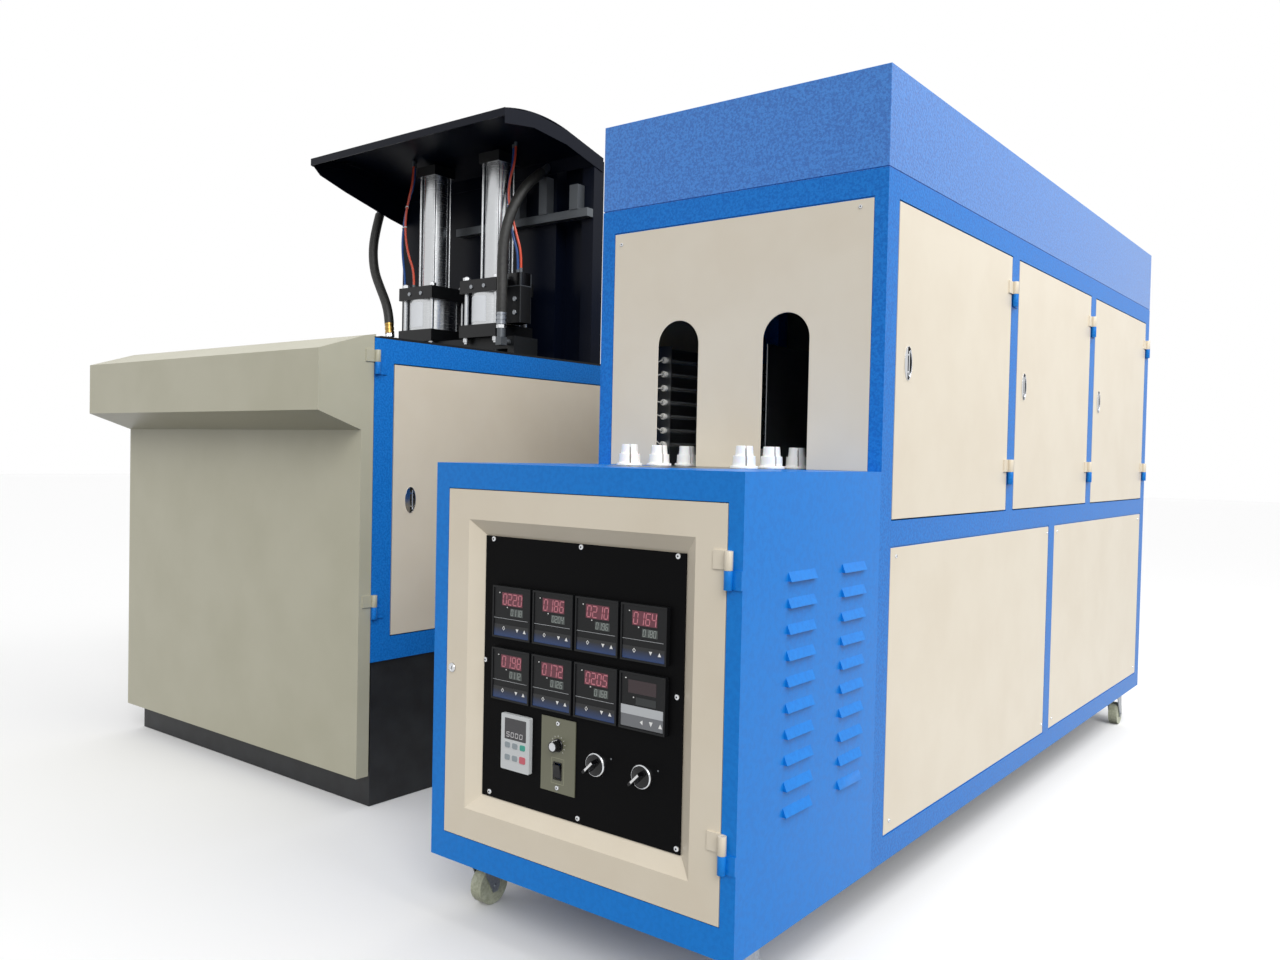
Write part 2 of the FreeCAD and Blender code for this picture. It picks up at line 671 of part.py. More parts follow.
def fixed_panels():
    sheets = []
    for y0, y1 in lower_bays():
        for x in (OX0, OX1 - SHEET):
            sheets.append(block(x, x + SHEET, y0 + GAP, y1 - GAP, LOWER_Z0 + GAP, MID_RAIL_Z - GAP))
    for y0, y1 in bay_doors():
        sheets.append(block(OX0, OX0 + SHEET, y0, y1, DOOR_Z0, DOOR_Z1))
    for z0, z1 in ((LOWER_Z0 + GAP, MID_RAIL_Z - GAP), (DOOR_Z0, DOOR_Z1)):
        sheets.append(block(OX0 + TUBE + GAP, OX1 - TUBE - GAP, OY1 - SHEET, OY1, z0, z1))
    z0 = PLINTH_H + BLOW_TUBE + GAP
    z1 = DECK_Z - BLOW_TUBE - GAP
    for y0, y1 in blow_bays():
        sheets.append(block(BX0, BX0 + SHEET, y0 + GAP, y1 - GAP, z0, z1))
    y0, y1 = blow_bays()[1]
    sheets.append(block(BX1 - SHEET, BX1, y0 + GAP, y1 - GAP, z0, z1))
    sheets.append(block(BX0 + BLOW_TUBE + GAP, BX1 - BLOW_TUBE - GAP, BY1 - SHEET, BY1, z0, z1))
    return Part.makeCompound(sheets)


# ---------------------------------------------------------------- control door
CD_X0 = OX0 + MARGIN_L + EDGE
CD_X1 = OX1 - MARGIN_R - EDGE
CD_Z0 = CONTROL_Z0 + EDGE
CD_Z1 = CONTROL_Z1 - EDGE
CONTROL_HINGES = (CD_Z0 + CONTROL_HINGE_Z[0], CD_Z1 - CONTROL_HINGE_Z[1])
PX0 = CD_X0 + DISH[0] + BEVEL
PX1 = CD_X1 - DISH[1] - BEVEL
PZ0 = CD_Z0 + DISH[2] + BEVEL
PZ1 = CD_Z1 - DISH[3] - BEVEL
PANEL_Y = OY0 + DISH_DEPTH - PANEL_T
PANEL_CX = (PX0 + PX1) / 2


def control_pin():
    return V(CD_X1 + PIN_SET, OY0 - KNUCKLE_R - FIT, 0)


def rectangle(x0, x1, z0, z1, y):
    corners = [V(x0, y, z0), V(x1, y, z0), V(x1, y, z1), V(x0, y, z1), V(x0, y, z0)]
    return Part.makePolygon(corners)


def frustum(grow, y0, y1):
    """Dish-shaped solid between the wide front opening and the instrument panel."""
    wide = rectangle(PX0 - BEVEL - grow, PX1 + BEVEL + grow, PZ0 - BEVEL - grow,
                     PZ1 + BEVEL + grow, y0)
    narrow = rectangle(PX0 - grow, PX1 + grow, PZ0 - grow, PZ1 + grow, y1)
    return Part.makeLoft([wide, narrow], True)


def control_door():
    pan = block(CD_X0, CD_X1, OY0, OY0 + DOOR_DEPTH, CD_Z0, CD_Z1)
    pan = pan.cut(block(CD_X0 + SHEET, CD_X1 - SHEET, OY0 + SHEET, OY0 + DOOR_DEPTH,
                        CD_Z0 + SHEET, CD_Z1 - SHEET))
    dish = frustum(SHEET, OY0, OY0 + DISH_DEPTH)
    lip = block(PX0 - SHEET, PX1 + SHEET, OY0 + DISH_DEPTH, OY0 + DISH_DEPTH + SHEET,
                PZ0 - SHEET, PZ1 + SHEET)
    lip = lip.cut(block(PX0 + DISH_LIP, PX1 - DISH_LIP, OY0, OY0 + DISH_DEPTH + SHEET,
                        PZ0 + DISH_LIP, PZ1 - DISH_LIP))
    body = join([pan, dish, lip]).cut(frustum(0, OY0, OY0 + DISH_DEPTH))
    halves = [knuckle_pair(control_pin(), z, V(-1, 0, 0), V(1, 0, 0))[0] for z in CONTROL_HINGES]
    lock = rod(LOCK_R, lock_centre(), lock_centre() + V(0, DOOR_DEPTH, 0))
    return join([body.cut(lock)] + halves)


def lock_centre():
    return V(CD_X0 + LOCK_IN, OY0, (CD_Z0 + CD_Z1) / 2 - LOCK_DROP)


def meter_places():
    for z in METER_ROWS:
        for i in range(4):
            yield PANEL_CX + (i - 1.5) * METER_PITCH, z


def instrument_panel():
    plate = block(PX0 + FIT, PX1 - FIT, PANEL_Y, PANEL_Y + PANEL_T, PZ0 + FIT, PZ1 - FIT)
    cuts = []
    for x, z in meter_places():
        half = METER_BODY / 2 + FIT
        cuts.append(block(x - half, x + half, PANEL_Y, PANEL_Y + PANEL_T, z - half, z + half))
    for dx, z, w, h in (KEYPAD, SPEED_PLATE):
        x = PANEL_CX + dx
        half = w / 2 - CUTOUT_EDGE
        tall = h / 2 - CUTOUT_END
        cuts.append(block(x - half, x + half, PANEL_Y, PANEL_Y + PANEL_T, z - tall, z + tall))
    for dx in SELECTORS:
        centre = V(PANEL_CX + dx, PANEL_Y, SELECTOR_Z)
        cuts.append(rod(STEM_OUTER, centre, centre + V(0, PANEL_T, 0)))
    return less(plate, cuts)


def panel_meters():
    meters = []
    for x, z in meter_places():
        bezel = block(x - METER / 2, x + METER / 2, PANEL_Y - METER_PROUD, PANEL_Y,
                      z - METER / 2, z + METER / 2)
        half = METER_BODY / 2
        body = block(x - half, x + half, PANEL_Y, PANEL_Y + METER_DEEP, z - half, z + half)
        meters.append(join([bezel, body]))
    return Part.makeCompound(meters)


def selector_axis(i):
    return V(PANEL_CX + SELECTORS[i], PANEL_Y, SELECTOR_Z)


def speed_axis():
    dx, z, w, h = SPEED_PLATE
    return V(PANEL_CX + dx, PANEL_Y - SHEET, z + h * 0.14)


def rocker_centre():
    dx, z, w, h = SPEED_PLATE
    return V(PANEL_CX + dx, PANEL_Y - SHEET, z - h * 0.2)


def panel_fittings():
    """Keypad, speed plate, two selector bodies with their rings, and the door's lock."""
    dx, z, w, h = KEYPAD
    x = PANEL_CX + dx
    keypad = block(x - w / 2, x + w / 2, PANEL_Y - KEYPAD_PROUD, PANEL_Y, z - h / 2, z + h / 2)
    half = w / 2 - CUTOUT_EDGE - FIT
    tall = h / 2 - CUTOUT_END - FIT
    behind = block(x - half, x + half, PANEL_Y, PANEL_Y + BOX_BACK, z - tall, z + tall)
    pieces = [join([keypad, behind])]
    dx, z, w, h = SPEED_PLATE
    x = PANEL_CX + dx
    plate = block(x - w / 2, x + w / 2, PANEL_Y - SHEET, PANEL_Y, z - h / 2, z + h / 2)
    knob = speed_axis()
    rocker = rocker_centre()
    plate = less(plate, [rod(STUB_R + FIT, knob, knob + V(0, SHEET, 0)),
                         block(rocker.x - ROCKER_W / 2 - FIT, rocker.x + ROCKER_W / 2 + FIT,
                               rocker.y, rocker.y + SHEET, rocker.z - ROCKER_H / 2 - FIT,
                               rocker.z + ROCKER_H / 2 + FIT)])
    pieces.append(plate)
    for i in (0, 1):
        a = selector_axis(i)
        collar = ring(RING_R, RING_R - RING_WALL, a - V(0, RING_OUT, 0), a)
        flange = rod(RING_R, a - V(0, SHEET, 0), a)
        stem = rod(STEM_OUTER - FIT, a, a + V(0, 4 * STUB_L, 0))
        bore = rod(STUB_R + FIT, a - V(0, SHEET, 0), a + V(0, STUB_L + SHEET, 0))
        pieces.append(join([collar, flange, stem]).cut(bore))
    lock = lock_centre()
    pieces.append(rod(LOCK_R - FIT, lock - V(0, GAP, 0), lock + V(0, DOOR_DEPTH, 0)))
    return Part.makeCompound(pieces)


def speed_knob():
    a = speed_axis() - V(0, FIT, 0)
    return join([rod(KNOB_R, a - V(0, KNOB_L, 0), a), rod(STUB_R, a, a + V(0, STUB_L, 0))])


def power_rocker():
    c = rocker_centre()
    half = ROCKER_H / 2 - 1
    profile = [V(c.x - ROCKER_W / 2 + FIT, c.y - 5, c.z + half - 2),
               V(c.x - ROCKER_W / 2 + FIT, c.y - 2.5, c.z),
               V(c.x - ROCKER_W / 2 + FIT, c.y - 1.2, c.z - half),
               V(c.x - ROCKER_W / 2 + FIT, c.y + 0.5, c.z - half + 3),
               V(c.x - ROCKER_W / 2 + FIT, c.y + 2, c.z),
               V(c.x - ROCKER_W / 2 + FIT, c.y + 0.5, c.z + half - 3)]
    return prism(profile, V(ROCKER_W - 2 * FIT, 0, 0))


def selector_lever(i):
    """Round base inside the collar, with a grip that stands in front of it."""
    a = selector_axis(i) - V(0, SHEET + FIT, 0)
    front = a.y - (RING_OUT - SHEET)
    base = rod(RING_R - RING_WALL - FIT, V(a.x, front - FIT, a.z), a)
    half = LEVER_W / 2
    grip = block(a.x - half, a.x + half, a.y - LEVER_OUT, front, a.z - LEVER_TAIL,
                 a.z + LEVER_HEAD)
    grip.rotate(a, V(0, 1, 0), 45)
    return join([base, grip, rod(STUB_R, a, a + V(0, STUB_L, 0))])


# ---------------------------------------------------------------- lamps
def rack_spans():
    return [(y0 + RACK_MARGIN, y1 - RACK_MARGIN) for y0, y1 in bay_doors()]


def bank_axes():
    return (TRACK_L - LAMP_SET, TRACK_R + LAMP_SET)


def lamp_racks():
    """End plates and reflector of each bank, and the reflector between the two tracks."""
    racks = []
    half = LAMP_END / 2 + FIT
    for x, side in zip(bank_axes(), (-1, 1)):
        back = x + side * RACK_BACK
        for y0, y1 in rack_spans():
            xs = sorted((back, back + side * SHEET))
            pieces = [block(xs[0], xs[1], y0, y1, TABLE_Z, RACK_TOP)]
            ends = sorted((x - side * RACK_REACH, back))
            for y in (y0, y1 - SHEET):
                pieces.append(block(ends[0], ends[1], y, y + SHEET, TABLE_Z, RACK_TOP))
            rack = join(pieces)
            for k in range(LAMP_ROWS):
                z = LAMP_Z + k * LAMP_PITCH
                rack = rack.cut(block(x - half, x + half, y0 - 1, y1 + 1, z - half, z + half))
            racks.append(rack)
    first = rack_spans()[0][0]
    racks.append(block(LOOP_CX - SHEET / 2, LOOP_CX + SHEET / 2, first + MIDDLE_IN,
                       LOOP_Y1 - MIDDLE_IN, TABLE_Z, RACK_TOP))
    return Part.makeCompound(racks)


def lamps():
    tubes = []
    half = LAMP_END / 2
    for x in bank_axes():
        for y0, y1 in rack_spans():
            for k in range(LAMP_ROWS):
                z = LAMP_Z + k * LAMP_PITCH
                glass = rod(LAMP_R, V(x, y0 + LAMP_CAP / 2, z), V(x, y1 - LAMP_CAP / 2, z))
                ends = [block(x - half, x + half, y - LAMP_CAP, y + LAMP_CAP, z - half, z + half)
                        for y in (y0, y1)]
                tubes.append(join([glass] + ends))
    return Part.makeCompound(tubes)


# ---------------------------------------------------------------- holder chain and drive
def chain_beam():
    """Central beam on the cross members, crossbars, guide rails and island pillars."""
    z0 = MID_RAIL_Z + TUBE
    pieces = [block(LOOP_CX - BEAM_W / 2, LOOP_CX + BEAM_W / 2, LOOP_Y0 - BEAM_PAST,
                    LOOP_Y1 + BEAM_PAST, z0, BEAM_TOP)]
    rail_top = CHAIN_Z - CHAIN_W / 2 - FIT
    y0 = LOOP_Y0 + WHEEL_PITCH_R
    y1 = LOOP_Y1 - WHEEL_PITCH_R
    for x in (TRACK_L, TRACK_R):
        pieces.append(block(x - RAIL_W / 2, x + RAIL_W / 2, y0, y1, BEAM_TOP, rail_top))
    step = (y1 - y0 - 2 * CROSSBAR_IN - CROSSBAR_W) / (CROSSBARS - 1)
    for i in range(CROSSBARS):
        y = y0 + CROSSBAR_IN + i * step
        pieces.append(block(TRACK_L - RAIL_W / 2, TRACK_R + RAIL_W / 2, y, y + CROSSBAR_W,
                            BEAM_TOP - CROSSBAR_H, BEAM_TOP))
        pieces.append(block(LOOP_CX - CROSSBAR_W / 2, LOOP_CX + CROSSBAR_W / 2, y, y + CROSSBAR_W,
                            BEAM_TOP, TABLE_Z - TABLE_T))
    beam = join(pieces)
    bores = [rod(SHAFT_R + RUNNING, V(LOOP_CX, y, z0 - 1), V(LOOP_CX, y, BEAM_TOP + 1))
             for y in (LOOP_Y0, LOOP_Y1)]
    return less(beam, bores)


def holder_chain():
    """Upper and lower link plates as two bands, tied by the pins of the straight runs."""
    low = CHAIN_Z - CHAIN_W / 2
    top = CHAIN_Z + CHAIN_W / 2
    half = CHAIN_W / 2
    pieces = [loop_band(half, low, low + LINK_T), loop_band(half, top - LINK_T, top)]
    clear = WHEEL_PITCH_R + CROSSBAR_IN
    pin = LINK_PIN / 2
    for p in stations():
        if LOOP_Y0 + clear < p.y < LOOP_Y1 - clear:
            pieces.append(block(p.x - pin, p.x + pin, p.y - pin, p.y + pin, low, top))
    return join(pieces)


def preform_holders():
    """Stepped plugs that carry the preforms, one on each station's stem."""
    plugs = []
    stem = CHAIN_Z + CHAIN_W / 2 - TABLE_Z - HOLDER_LIFT
    profile = [(0, stem), (STEM_R, stem), (STEM_R, 0)]
    low = 0.0
    for radius, top in HOLDER_STEPS:
        profile += [(radius, low), (radius, top)]
        low = top
    profile.append((0, low))
    plug = turned(profile, V(0, 0, 0))
    for p in stations():
        copy = plug.copy()
        copy.translate(V(p.x, p.y, TABLE_Z + HOLDER_LIFT))
        plugs.append(copy)
    return Part.makeCompound(plugs)


def sprocket(y, shaft_to):
    """Toothed wheel between the link plates, on a shaft through the beam."""
    root = WHEEL_PITCH_R - TOOTH_ROOT
    tip = WHEEL_PITCH_R + TOOTH_TIP
    points = []
    step = 2 * math.pi / TEETH
    z0 = CHAIN_Z - SPROCKET_T / 2
    for k in range(TEETH):
        for share, radius in ((-0.26, root), (-0.1, tip), (0.1, tip), (0.26, root)):
            a = (k + share) * step
            points.append(V(LOOP_CX + radius * math.cos(a), y + radius * math.sin(a), z0))
    disc = prism(points, V(0, 0, SPROCKET_T))
    hub = rod(HUB_R, V(LOOP_CX, y, BEAM_TOP + FIT), V(LOOP_CX, y, z0))
    shaft = rod(SHAFT_R, V(LOOP_CX, y, shaft_to), V(LOOP_CX, y, z0))
    return join([disc, hub, shaft])


GEARBOX_TOP = MID_RAIL_Z - GEARBOX_CLEAR


def gear_motor():
    """Worm gearbox on a round neck under the beam, its motor lying along the cabinet."""
    half = GEARBOX_W / 2
    axis = V(LOOP_CX, LOOP_Y1, 0)
    beam = axis + V(0, 0, MID_RAIL_Z + TUBE)
    top = axis + V(0, 0, GEARBOX_TOP)
    box = block(LOOP_CX - half, LOOP_CX + half, LOOP_Y1 - half, LOOP_Y1 + half,
                GEARBOX_TOP - GEARBOX_H, GEARBOX_TOP)
    neck = rod(GEARBOX_NECK, top, beam)
    middle = top - V(0, 0, GEARBOX_H / 2)
    motor = rod(MOTOR_R, middle - V(0, half + MOTOR_H, 0), middle)
    bore = rod(SHAFT_R + RUNNING, top - V(0, 0, 2 * SHAFT_DEEP), beam)
    return join([box, neck, motor]).cut(bore)


# ---------------------------------------------------------------- casters
def caster_places():
    left = OX0 + CASTER_INSET
    right = OX1 - CASTER_INSET
    front = OY0 + CASTER_FRONT
    rear = OY1 - CASTER_REAR
    return [V(left, front, 0), V(right, front, 0), V(left, rear, 0), V(right, rear, 0)]


def wheel_centre(i):
    return caster_places()[i] + V(0, TRAIL, WHEEL_R)


def fork(i, top):
    """Two cheeks and a crown round the wheel, with the axle."""
    p = caster_places()[i]
    c = wheel_centre(i)
    inner = WHEEL_W / 2 + FORK_GAP
    outer = inner + FORK_T
    rear = p.y + RACE_R + FORK_BACK
    pieces = [block(p.x - outer, p.x + outer, p.y - RACE_R, rear, top - FORK_T, top)]
    for x in (p.x - outer, p.x + inner):
        cheek = [V(x, p.y - RACE_R, top), V(x, rear, top), V(x, c.y + LUG, c.z),
                 V(x, c.y + LUG / 2, c.z - LUG), V(x, c.y - LUG / 2, c.z - LUG),
                 V(x, c.y - LUG, c.z)]
        pieces.append(prism(cheek, V(FORK_T, 0, 0)))
    end = V(outer + FORK_GAP, 0, 0)
    pieces.append(rod(AXLE_R, V(p.x, c.y, c.z) - end, V(p.x, c.y, c.z) + end))
    return join(pieces)


FORK_TOP = BASE_Z - PLATE_T - RACE_H - FIT


def caster_plates():
    """Four top plates with their ball races; the rear forks are riveted on, the front ones turn."""
    pieces = []
    for i, p in enumerate(caster_places()):
        wide, long = PLATE_HALF
        plate = block(p.x - wide, p.x + wide, p.y - long, p.y + long, BASE_Z - PLATE_T, BASE_Z)
        race = rod(RACE_R, p + V(0, 0, BASE_Z - PLATE_T - RACE_H), p + V(0, 0, BASE_Z - PLATE_T))
        if i < 2:
            pieces.append(join([plate, race]))
        else:
            pieces.append(join([plate, race, fork(i, BASE_Z - PLATE_T - RACE_H)]))
    return Part.makeCompound(pieces)


def caster_wheel(i):
    c = wheel_centre(i)
    half = V(WHEEL_W / 2, 0, 0)
    hub = V(WHEEL_W / 2 + FORK_GAP - 2 * FIT, 0, 0)
    tyre = rod(WHEEL_R, c - half, c + half)
    boss = rod(WHEEL_BOSS, c - hub, c + hub)
    return join([tyre, boss]).cut(rod(AXLE_R + RUNNING, c - hub, c + hub))


# ---------------------------------------------------------------- blow unit cabinet
CYL_Y = BY0 + CYL_BACK
BLOW_CX = (BX0 + BX1) / 2
CYL_X = (BLOW_CX - CYL_PITCH / 2, BLOW_CX + CYL_PITCH / 2)


def blow_plinth():
    x0, x1 = BX0 + PLINTH_INSET, BX1 - PLINTH_INSET
    y0, y1 = BY0 + PLINTH_INSET, BY1 - PLINTH_INSET
    shell = block(x0, x1, y0, y1, 0, PLINTH_H)
    w = PLINTH_WALL
    return shell.cut(block(x0 + w, x1 - w, y0 + w, y1 - w, w, PLINTH_H))


def blow_bays():
    mid = BY0 + SIDE_DOOR_END
    return [(BY0 + BLOW_TUBE, mid), (mid + BLOW_TUBE, BY1 - BLOW_TUBE)]


def blow_frame():
    tubes = []
    t = BLOW_TUBE
    mid = BY0 + SIDE_DOOR_END
    for x in (BX0, BX1 - t):
        for y in (BY0, mid, BY1 - t):
            tubes.append(block(x, x + t, y, y + t, PLINTH_H, DECK_Z))
        for z in (PLINTH_H, DECK_Z - t):
            tubes.append(block(x, x + t, BY0, BY1, z, z + t))
    for y in (BY0, BY1 - t):
        for z in (PLINTH_H, DECK_Z - t):
            tubes.append(block(BX0, BX1, y, y + t, z, z + t))
    for y in (CYL_Y - CROSS_OFF - t, CYL_Y + CROSS_OFF):
        tubes.append(block(BX0, BX1, y, y + t, DECK_Z - t, DECK_Z))
    z0 = PLINTH_H + t
    z1 = DECK_Z - t
    for y0, y1 in blow_bays():
        tubes.append(side_seat(BX0 + SHEET, BX0 + SHEET + SEAT_T, y0, y1, z0, z1))
    y0, y1 = blow_bays()[0]
    deep = BX1 - DOOR_DEPTH - FIT
    tubes.append(side_seat(deep, deep - SEAT_T, y0, y1, z0, z1))
    y0, y1 = blow_bays()[1]
    tubes.append(side_seat(BX1 - SHEET, BX1 - SHEET - SEAT_T, y0, y1, z0, z1))
    tubes.append(cross_seat(BY1 - SHEET - SEAT_T, BY1 - SHEET, BX0 + t, BX1 - t, z0, z1))
    for z in BLOW_DOOR_HINGES:
        tubes.append(knuckle_pair(blow_door_pin(), z, V(0, -1, 0), V(0, 1, 0))[1])
    for z in CONSOLE_HINGES:
        tubes.append(knuckle_pair(console_pin(), z, V(0, -1, 0), V(0, 1, 0))[1])
    return join(tubes)


BLOW_DOOR_Z0 = PLINTH_H + BLOW_TUBE + GAP
BLOW_DOOR_Z1 = DECK_Z - BLOW_TUBE - GAP
BLOW_DOOR_HINGES = (BLOW_DOOR_Z0 + BLOW_HINGE_IN, BLOW_DOOR_Z1 - BLOW_HINGE_IN)


def blow_door_span():
    y0, y1 = blow_bays()[0]
    return y0 + GAP, y1 - GAP


def blow_door_pin():
    return side_pin(BX1, blow_door_span()[1])


def console_pin():
    return V(BX1 + KNUCKLE_R + FIT, BY0 + PIN_SET / 2, 0)


def console_section(back):
    """Outline of the console door in side view: distance in front of the frame, and height."""
    top = DECK_Z + DESK_REST
    return [(SKIRT_OUT, DOOR_BOTTOM), (SKIRT_OUT, DESK_START), (DESK_OUT, DESK_CHIN),
            (DESK_OUT, DESK_BROW), (DESK_LIP_OUT, top), (back, top), (back, DOOR_BOTTOM)]


def side_view(points, x):
    return [V(x, BY0 - out, z) for out, z in points]


def console_door():
    """Folded sheet door whose top swells into the control console."""
    top = DECK_Z + DESK_REST
    solid = prism(side_view(console_section(CONSOLE_BACK), BX0), V(BLOW_W, 0, 0))
    open_back = side_view(console_section(CONSOLE_BACK - 2 * SHEET), BX0 + SHEET)
    outline = Part.Face(Part.makePolygon(open_back + [open_back[0]]))
    hollow = outline.makeOffset2D(-SHEET, 2).extrude(V(BLOW_W - 2 * SHEET, 0, 0))
    lip = [(DESK_LIP_OUT, top), (-DESK_OVER, top + DESK_LIP), (-DESK_OVER, top)]
    halves = [knuckle_pair(console_pin(), z, V(0, -1, 0), V(0, 1, 0))[0] for z in CONSOLE_HINGES]
    lip_bar = prism(side_view(lip, BX0), V(BLOW_W, 0, 0))
    return join([solid.cut(hollow), lip_bar] + halves)


def blow_side_door():
    y0, y1 = blow_door_span()
    return side_door(BX1, y0, y1, BLOW_DOOR_Z0, BLOW_DOOR_Z1, BLOW_DOOR_HINGES)


# ---------------------------------------------------------------- roof line
def roof_height(y):
    """Top of the roof: a circle through its first three points, then a straight slope."""
    (ya, za), (yb, zb), (yc, zc), (yd, zd) = ROOF
    if y > yc:
        return zc + (zd - zc) * (y - yc) / (yd - yc)
    d = 2 * (ya * (zb - zc) + yb * (zc - za) + yc * (za - zb))
    a, b, c = ya ** 2 + za ** 2, yb ** 2 + zb ** 2, yc ** 2 + zc ** 2
    cy = (a * (zb - zc) + b * (zc - za) + c * (za - zb)) / d
    cz = (a * (yc - yb) + b * (ya - yc) + c * (yb - ya)) / d
    return cz + math.sqrt((ya - cy) ** 2 + (za - cz) ** 2 - (y - cy) ** 2)


def roof_under(y):
    return roof_height(y) - HOOD_PLATE


# ---------------------------------------------------------------- blow cylinders
SEAL_Z0 = BRIDGE_TOP + CAP_H
SEAL_Z1 = SEAL_Z0 + SEAL_L
ROD_Z0 = SEAL_Z1 + CAP_H + CAP_STEP
ROD_Z1 = roof_under(CYL_BACK + TOP_CAP / 2) - ROOF_CLEAR - TOP_CAP_H
NOZZLE_TIP = MOULD_TOP + NOZZLE_STROKE + FIT


def cylinder_bridge():
    """Deck plate and the beam on feet that carries both blow cylinders."""
    top = DECK_Z + DECK_T
    deck = block(BX0, BX1, BY0 + DECK_FRONT, BY1, DECK_Z, top)
    half = BRIDGE_W / 2
    x0 = BLOW_CX - BRIDGE_L / 2
    x1 = BLOW_CX + BRIDGE_L / 2
    beam = block(x0, x1, CYL_Y - half, CYL_Y + half, BRIDGE_TOP - BRIDGE_T, BRIDGE_TOP)
    foot = BRIDGE_FOOT
    feet = [block(x, x + foot, CYL_Y - half, CYL_Y + half, top, BRIDGE_TOP - BRIDGE_T)
            for x in (x0, BLOW_CX - foot / 2, x1 - foot)]
    bores = []
    for x in CYL_X:
        bores.append(rod(NOZZLE_R + BORE_GAP, V(x, CYL_Y, DECK_Z), V(x, CYL_Y, BRIDGE_TOP)))
    return less(join([deck, beam] + feet), bores)


def square_cap(x, size, z0, z1):
    return block(x - size / 2, x + size / 2, CYL_Y - size / 2, CYL_Y + size / 2, z0, z1)


def cylinder_caps():
    pieces = []
    for x in CYL_X:
        low = square_cap(x, CAP, BRIDGE_TOP, SEAL_Z0)
        low = low.cut(rod(NOZZLE_R + FIT, V(x, CYL_Y, BRIDGE_TOP), V(x, CYL_Y, SEAL_Z0)))
        mid = square_cap(x, CAP, SEAL_Z1, ROD_Z0)
        mid = mid.cut(rod(STRETCH_R + FIT, V(x, CYL_Y, SEAL_Z1), V(x, CYL_Y, ROD_Z0)))
        for cap in (low, mid):
            for dx, dy in corners(TIE_OFF):
                cap = cap.cut(rod(TIE_R + FIT, V(x + dx, CYL_Y + dy, BRIDGE_TOP - 1),
                                  V(x + dx, CYL_Y + dy, ROD_Z0 + 1)))
            pieces.append(cap)
        pieces.append(square_cap(x, TOP_CAP, ROD_Z1, ROD_Z1 + TOP_CAP_H))
    return Part.makeCompound(pieces)


def corners(offset):
    return [(-offset, -offset), (offset, -offset), (-offset, offset), (offset, offset)]


def cylinder_barrels():
    """Bright barrels with the tie rods and nuts that hold the caps on them."""
    pieces = []
    for x in CYL_X:
        c = V(x, CYL_Y, 0)
        pieces.append(ring(SEAL_BORE + SEAL_WALL, SEAL_BORE, c + V(0, 0, SEAL_Z0),
                           c + V(0, 0, SEAL_Z1)))
        pieces.append(ring(ROD_BORE + ROD_WALL, ROD_BORE, c + V(0, 0, ROD_Z0),
                           c + V(0, 0, ROD_Z1)))
        for dx, dy in corners(TIE_OFF):
            p = V(x + dx, CYL_Y + dy, 0)
            low = BRIDGE_TOP - NUT_H
            high = ROD_Z0 + NUT_TOP
            tie = rod(TIE_R, p + V(0, 0, low - TIE_END[0]), p + V(0, 0, high + TIE_END[1]))
            nuts = [rod(NUT_R, p + V(0, 0, low), p + V(0, 0, BRIDGE_TOP)),
                    rod(NUT_R, p + V(0, 0, ROD_Z0), p + V(0, 0, high))]
            pieces.append(join([tie] + nuts))
        for dx, dy in corners(SMALL_TIE_OFF):
            p = V(x + dx, CYL_Y + dy, 0)
            pieces.append(rod(SMALL_TIE_R, p + V(0, 0, ROD_Z0), p + V(0, 0, ROD_Z1)))
    return Part.makeCompound(pieces)


def blow_nozzle(i):
    """Seal piston with its hollow rod and the tip that presses on the mould's neck."""
    top = SEAL_Z1 - FIT - NOZZLE_TIP
    low = top - PISTON_H
    profile = [(STRETCH_R + FIT, 0), (NOSE_R, 0), (NOZZLE_R, NOSE_L), (NOZZLE_R, low),
               (SEAL_BORE - FIT, low), (SEAL_BORE - FIT, top), (STRETCH_R + FIT, top)]
    return turned(profile, V(CYL_X[i], CYL_Y, NOZZLE_TIP))


def stretch_rod(i):
    """Long thin rod and its piston in the upper cylinder."""
    tip = NOZZLE_TIP + ROD_TIP
    top = ROD_Z1 - FIT - tip
    low = top - ROD_PISTON_H
    profile = [(0, 0), (STRETCH_R - POINT, 0), (STRETCH_R, POINT), (STRETCH_R, low),
               (ROD_BORE - FIT, low), (ROD_BORE - FIT, top), (0, top)]
    return turned(profile, V(CYL_X[i], CYL_Y, tip))


# ---------------------------------------------------------------- clamp and moulds
FIXED_MOULD_Y = CYL_Y - MOULD_T
OPEN_FACE = CYL_Y + CLAMP_STROKE + FIT
PLATEN_Y = OPEN_FACE + MOULD_T
RAM_PLATE_Y = BY1 - BLOW_TUBE - RAM_PLATE_IN
RAM_FRONT = RAM_PLATE_Y - RAM_PISTON - CLAMP_STROKE - RAM_CAP - RAM_SPARE
BED_TOP = PLINTH_H + BLOW_TUBE + BED_H
TIE_BAR_X = PLATEN_W / 2 - TIE_BAR_IN
TIE_BAR_Z = (PLATEN_Z0 + TIE_BAR_LOW, PLATEN_Z1 - TIE_BAR_LOW)


def tie_bar_centres():
    return [(BLOW_CX + dx, z) for dx in (-TIE_BAR_X, TIE_BAR_X) for z in TIE_BAR_Z]


def platen(y, thickness):
    return block(BLOW_CX - PLATEN_W / 2, BLOW_CX + PLATEN_W / 2, y, y + thickness,
                 PLATEN_Z0, PLATEN_Z1)


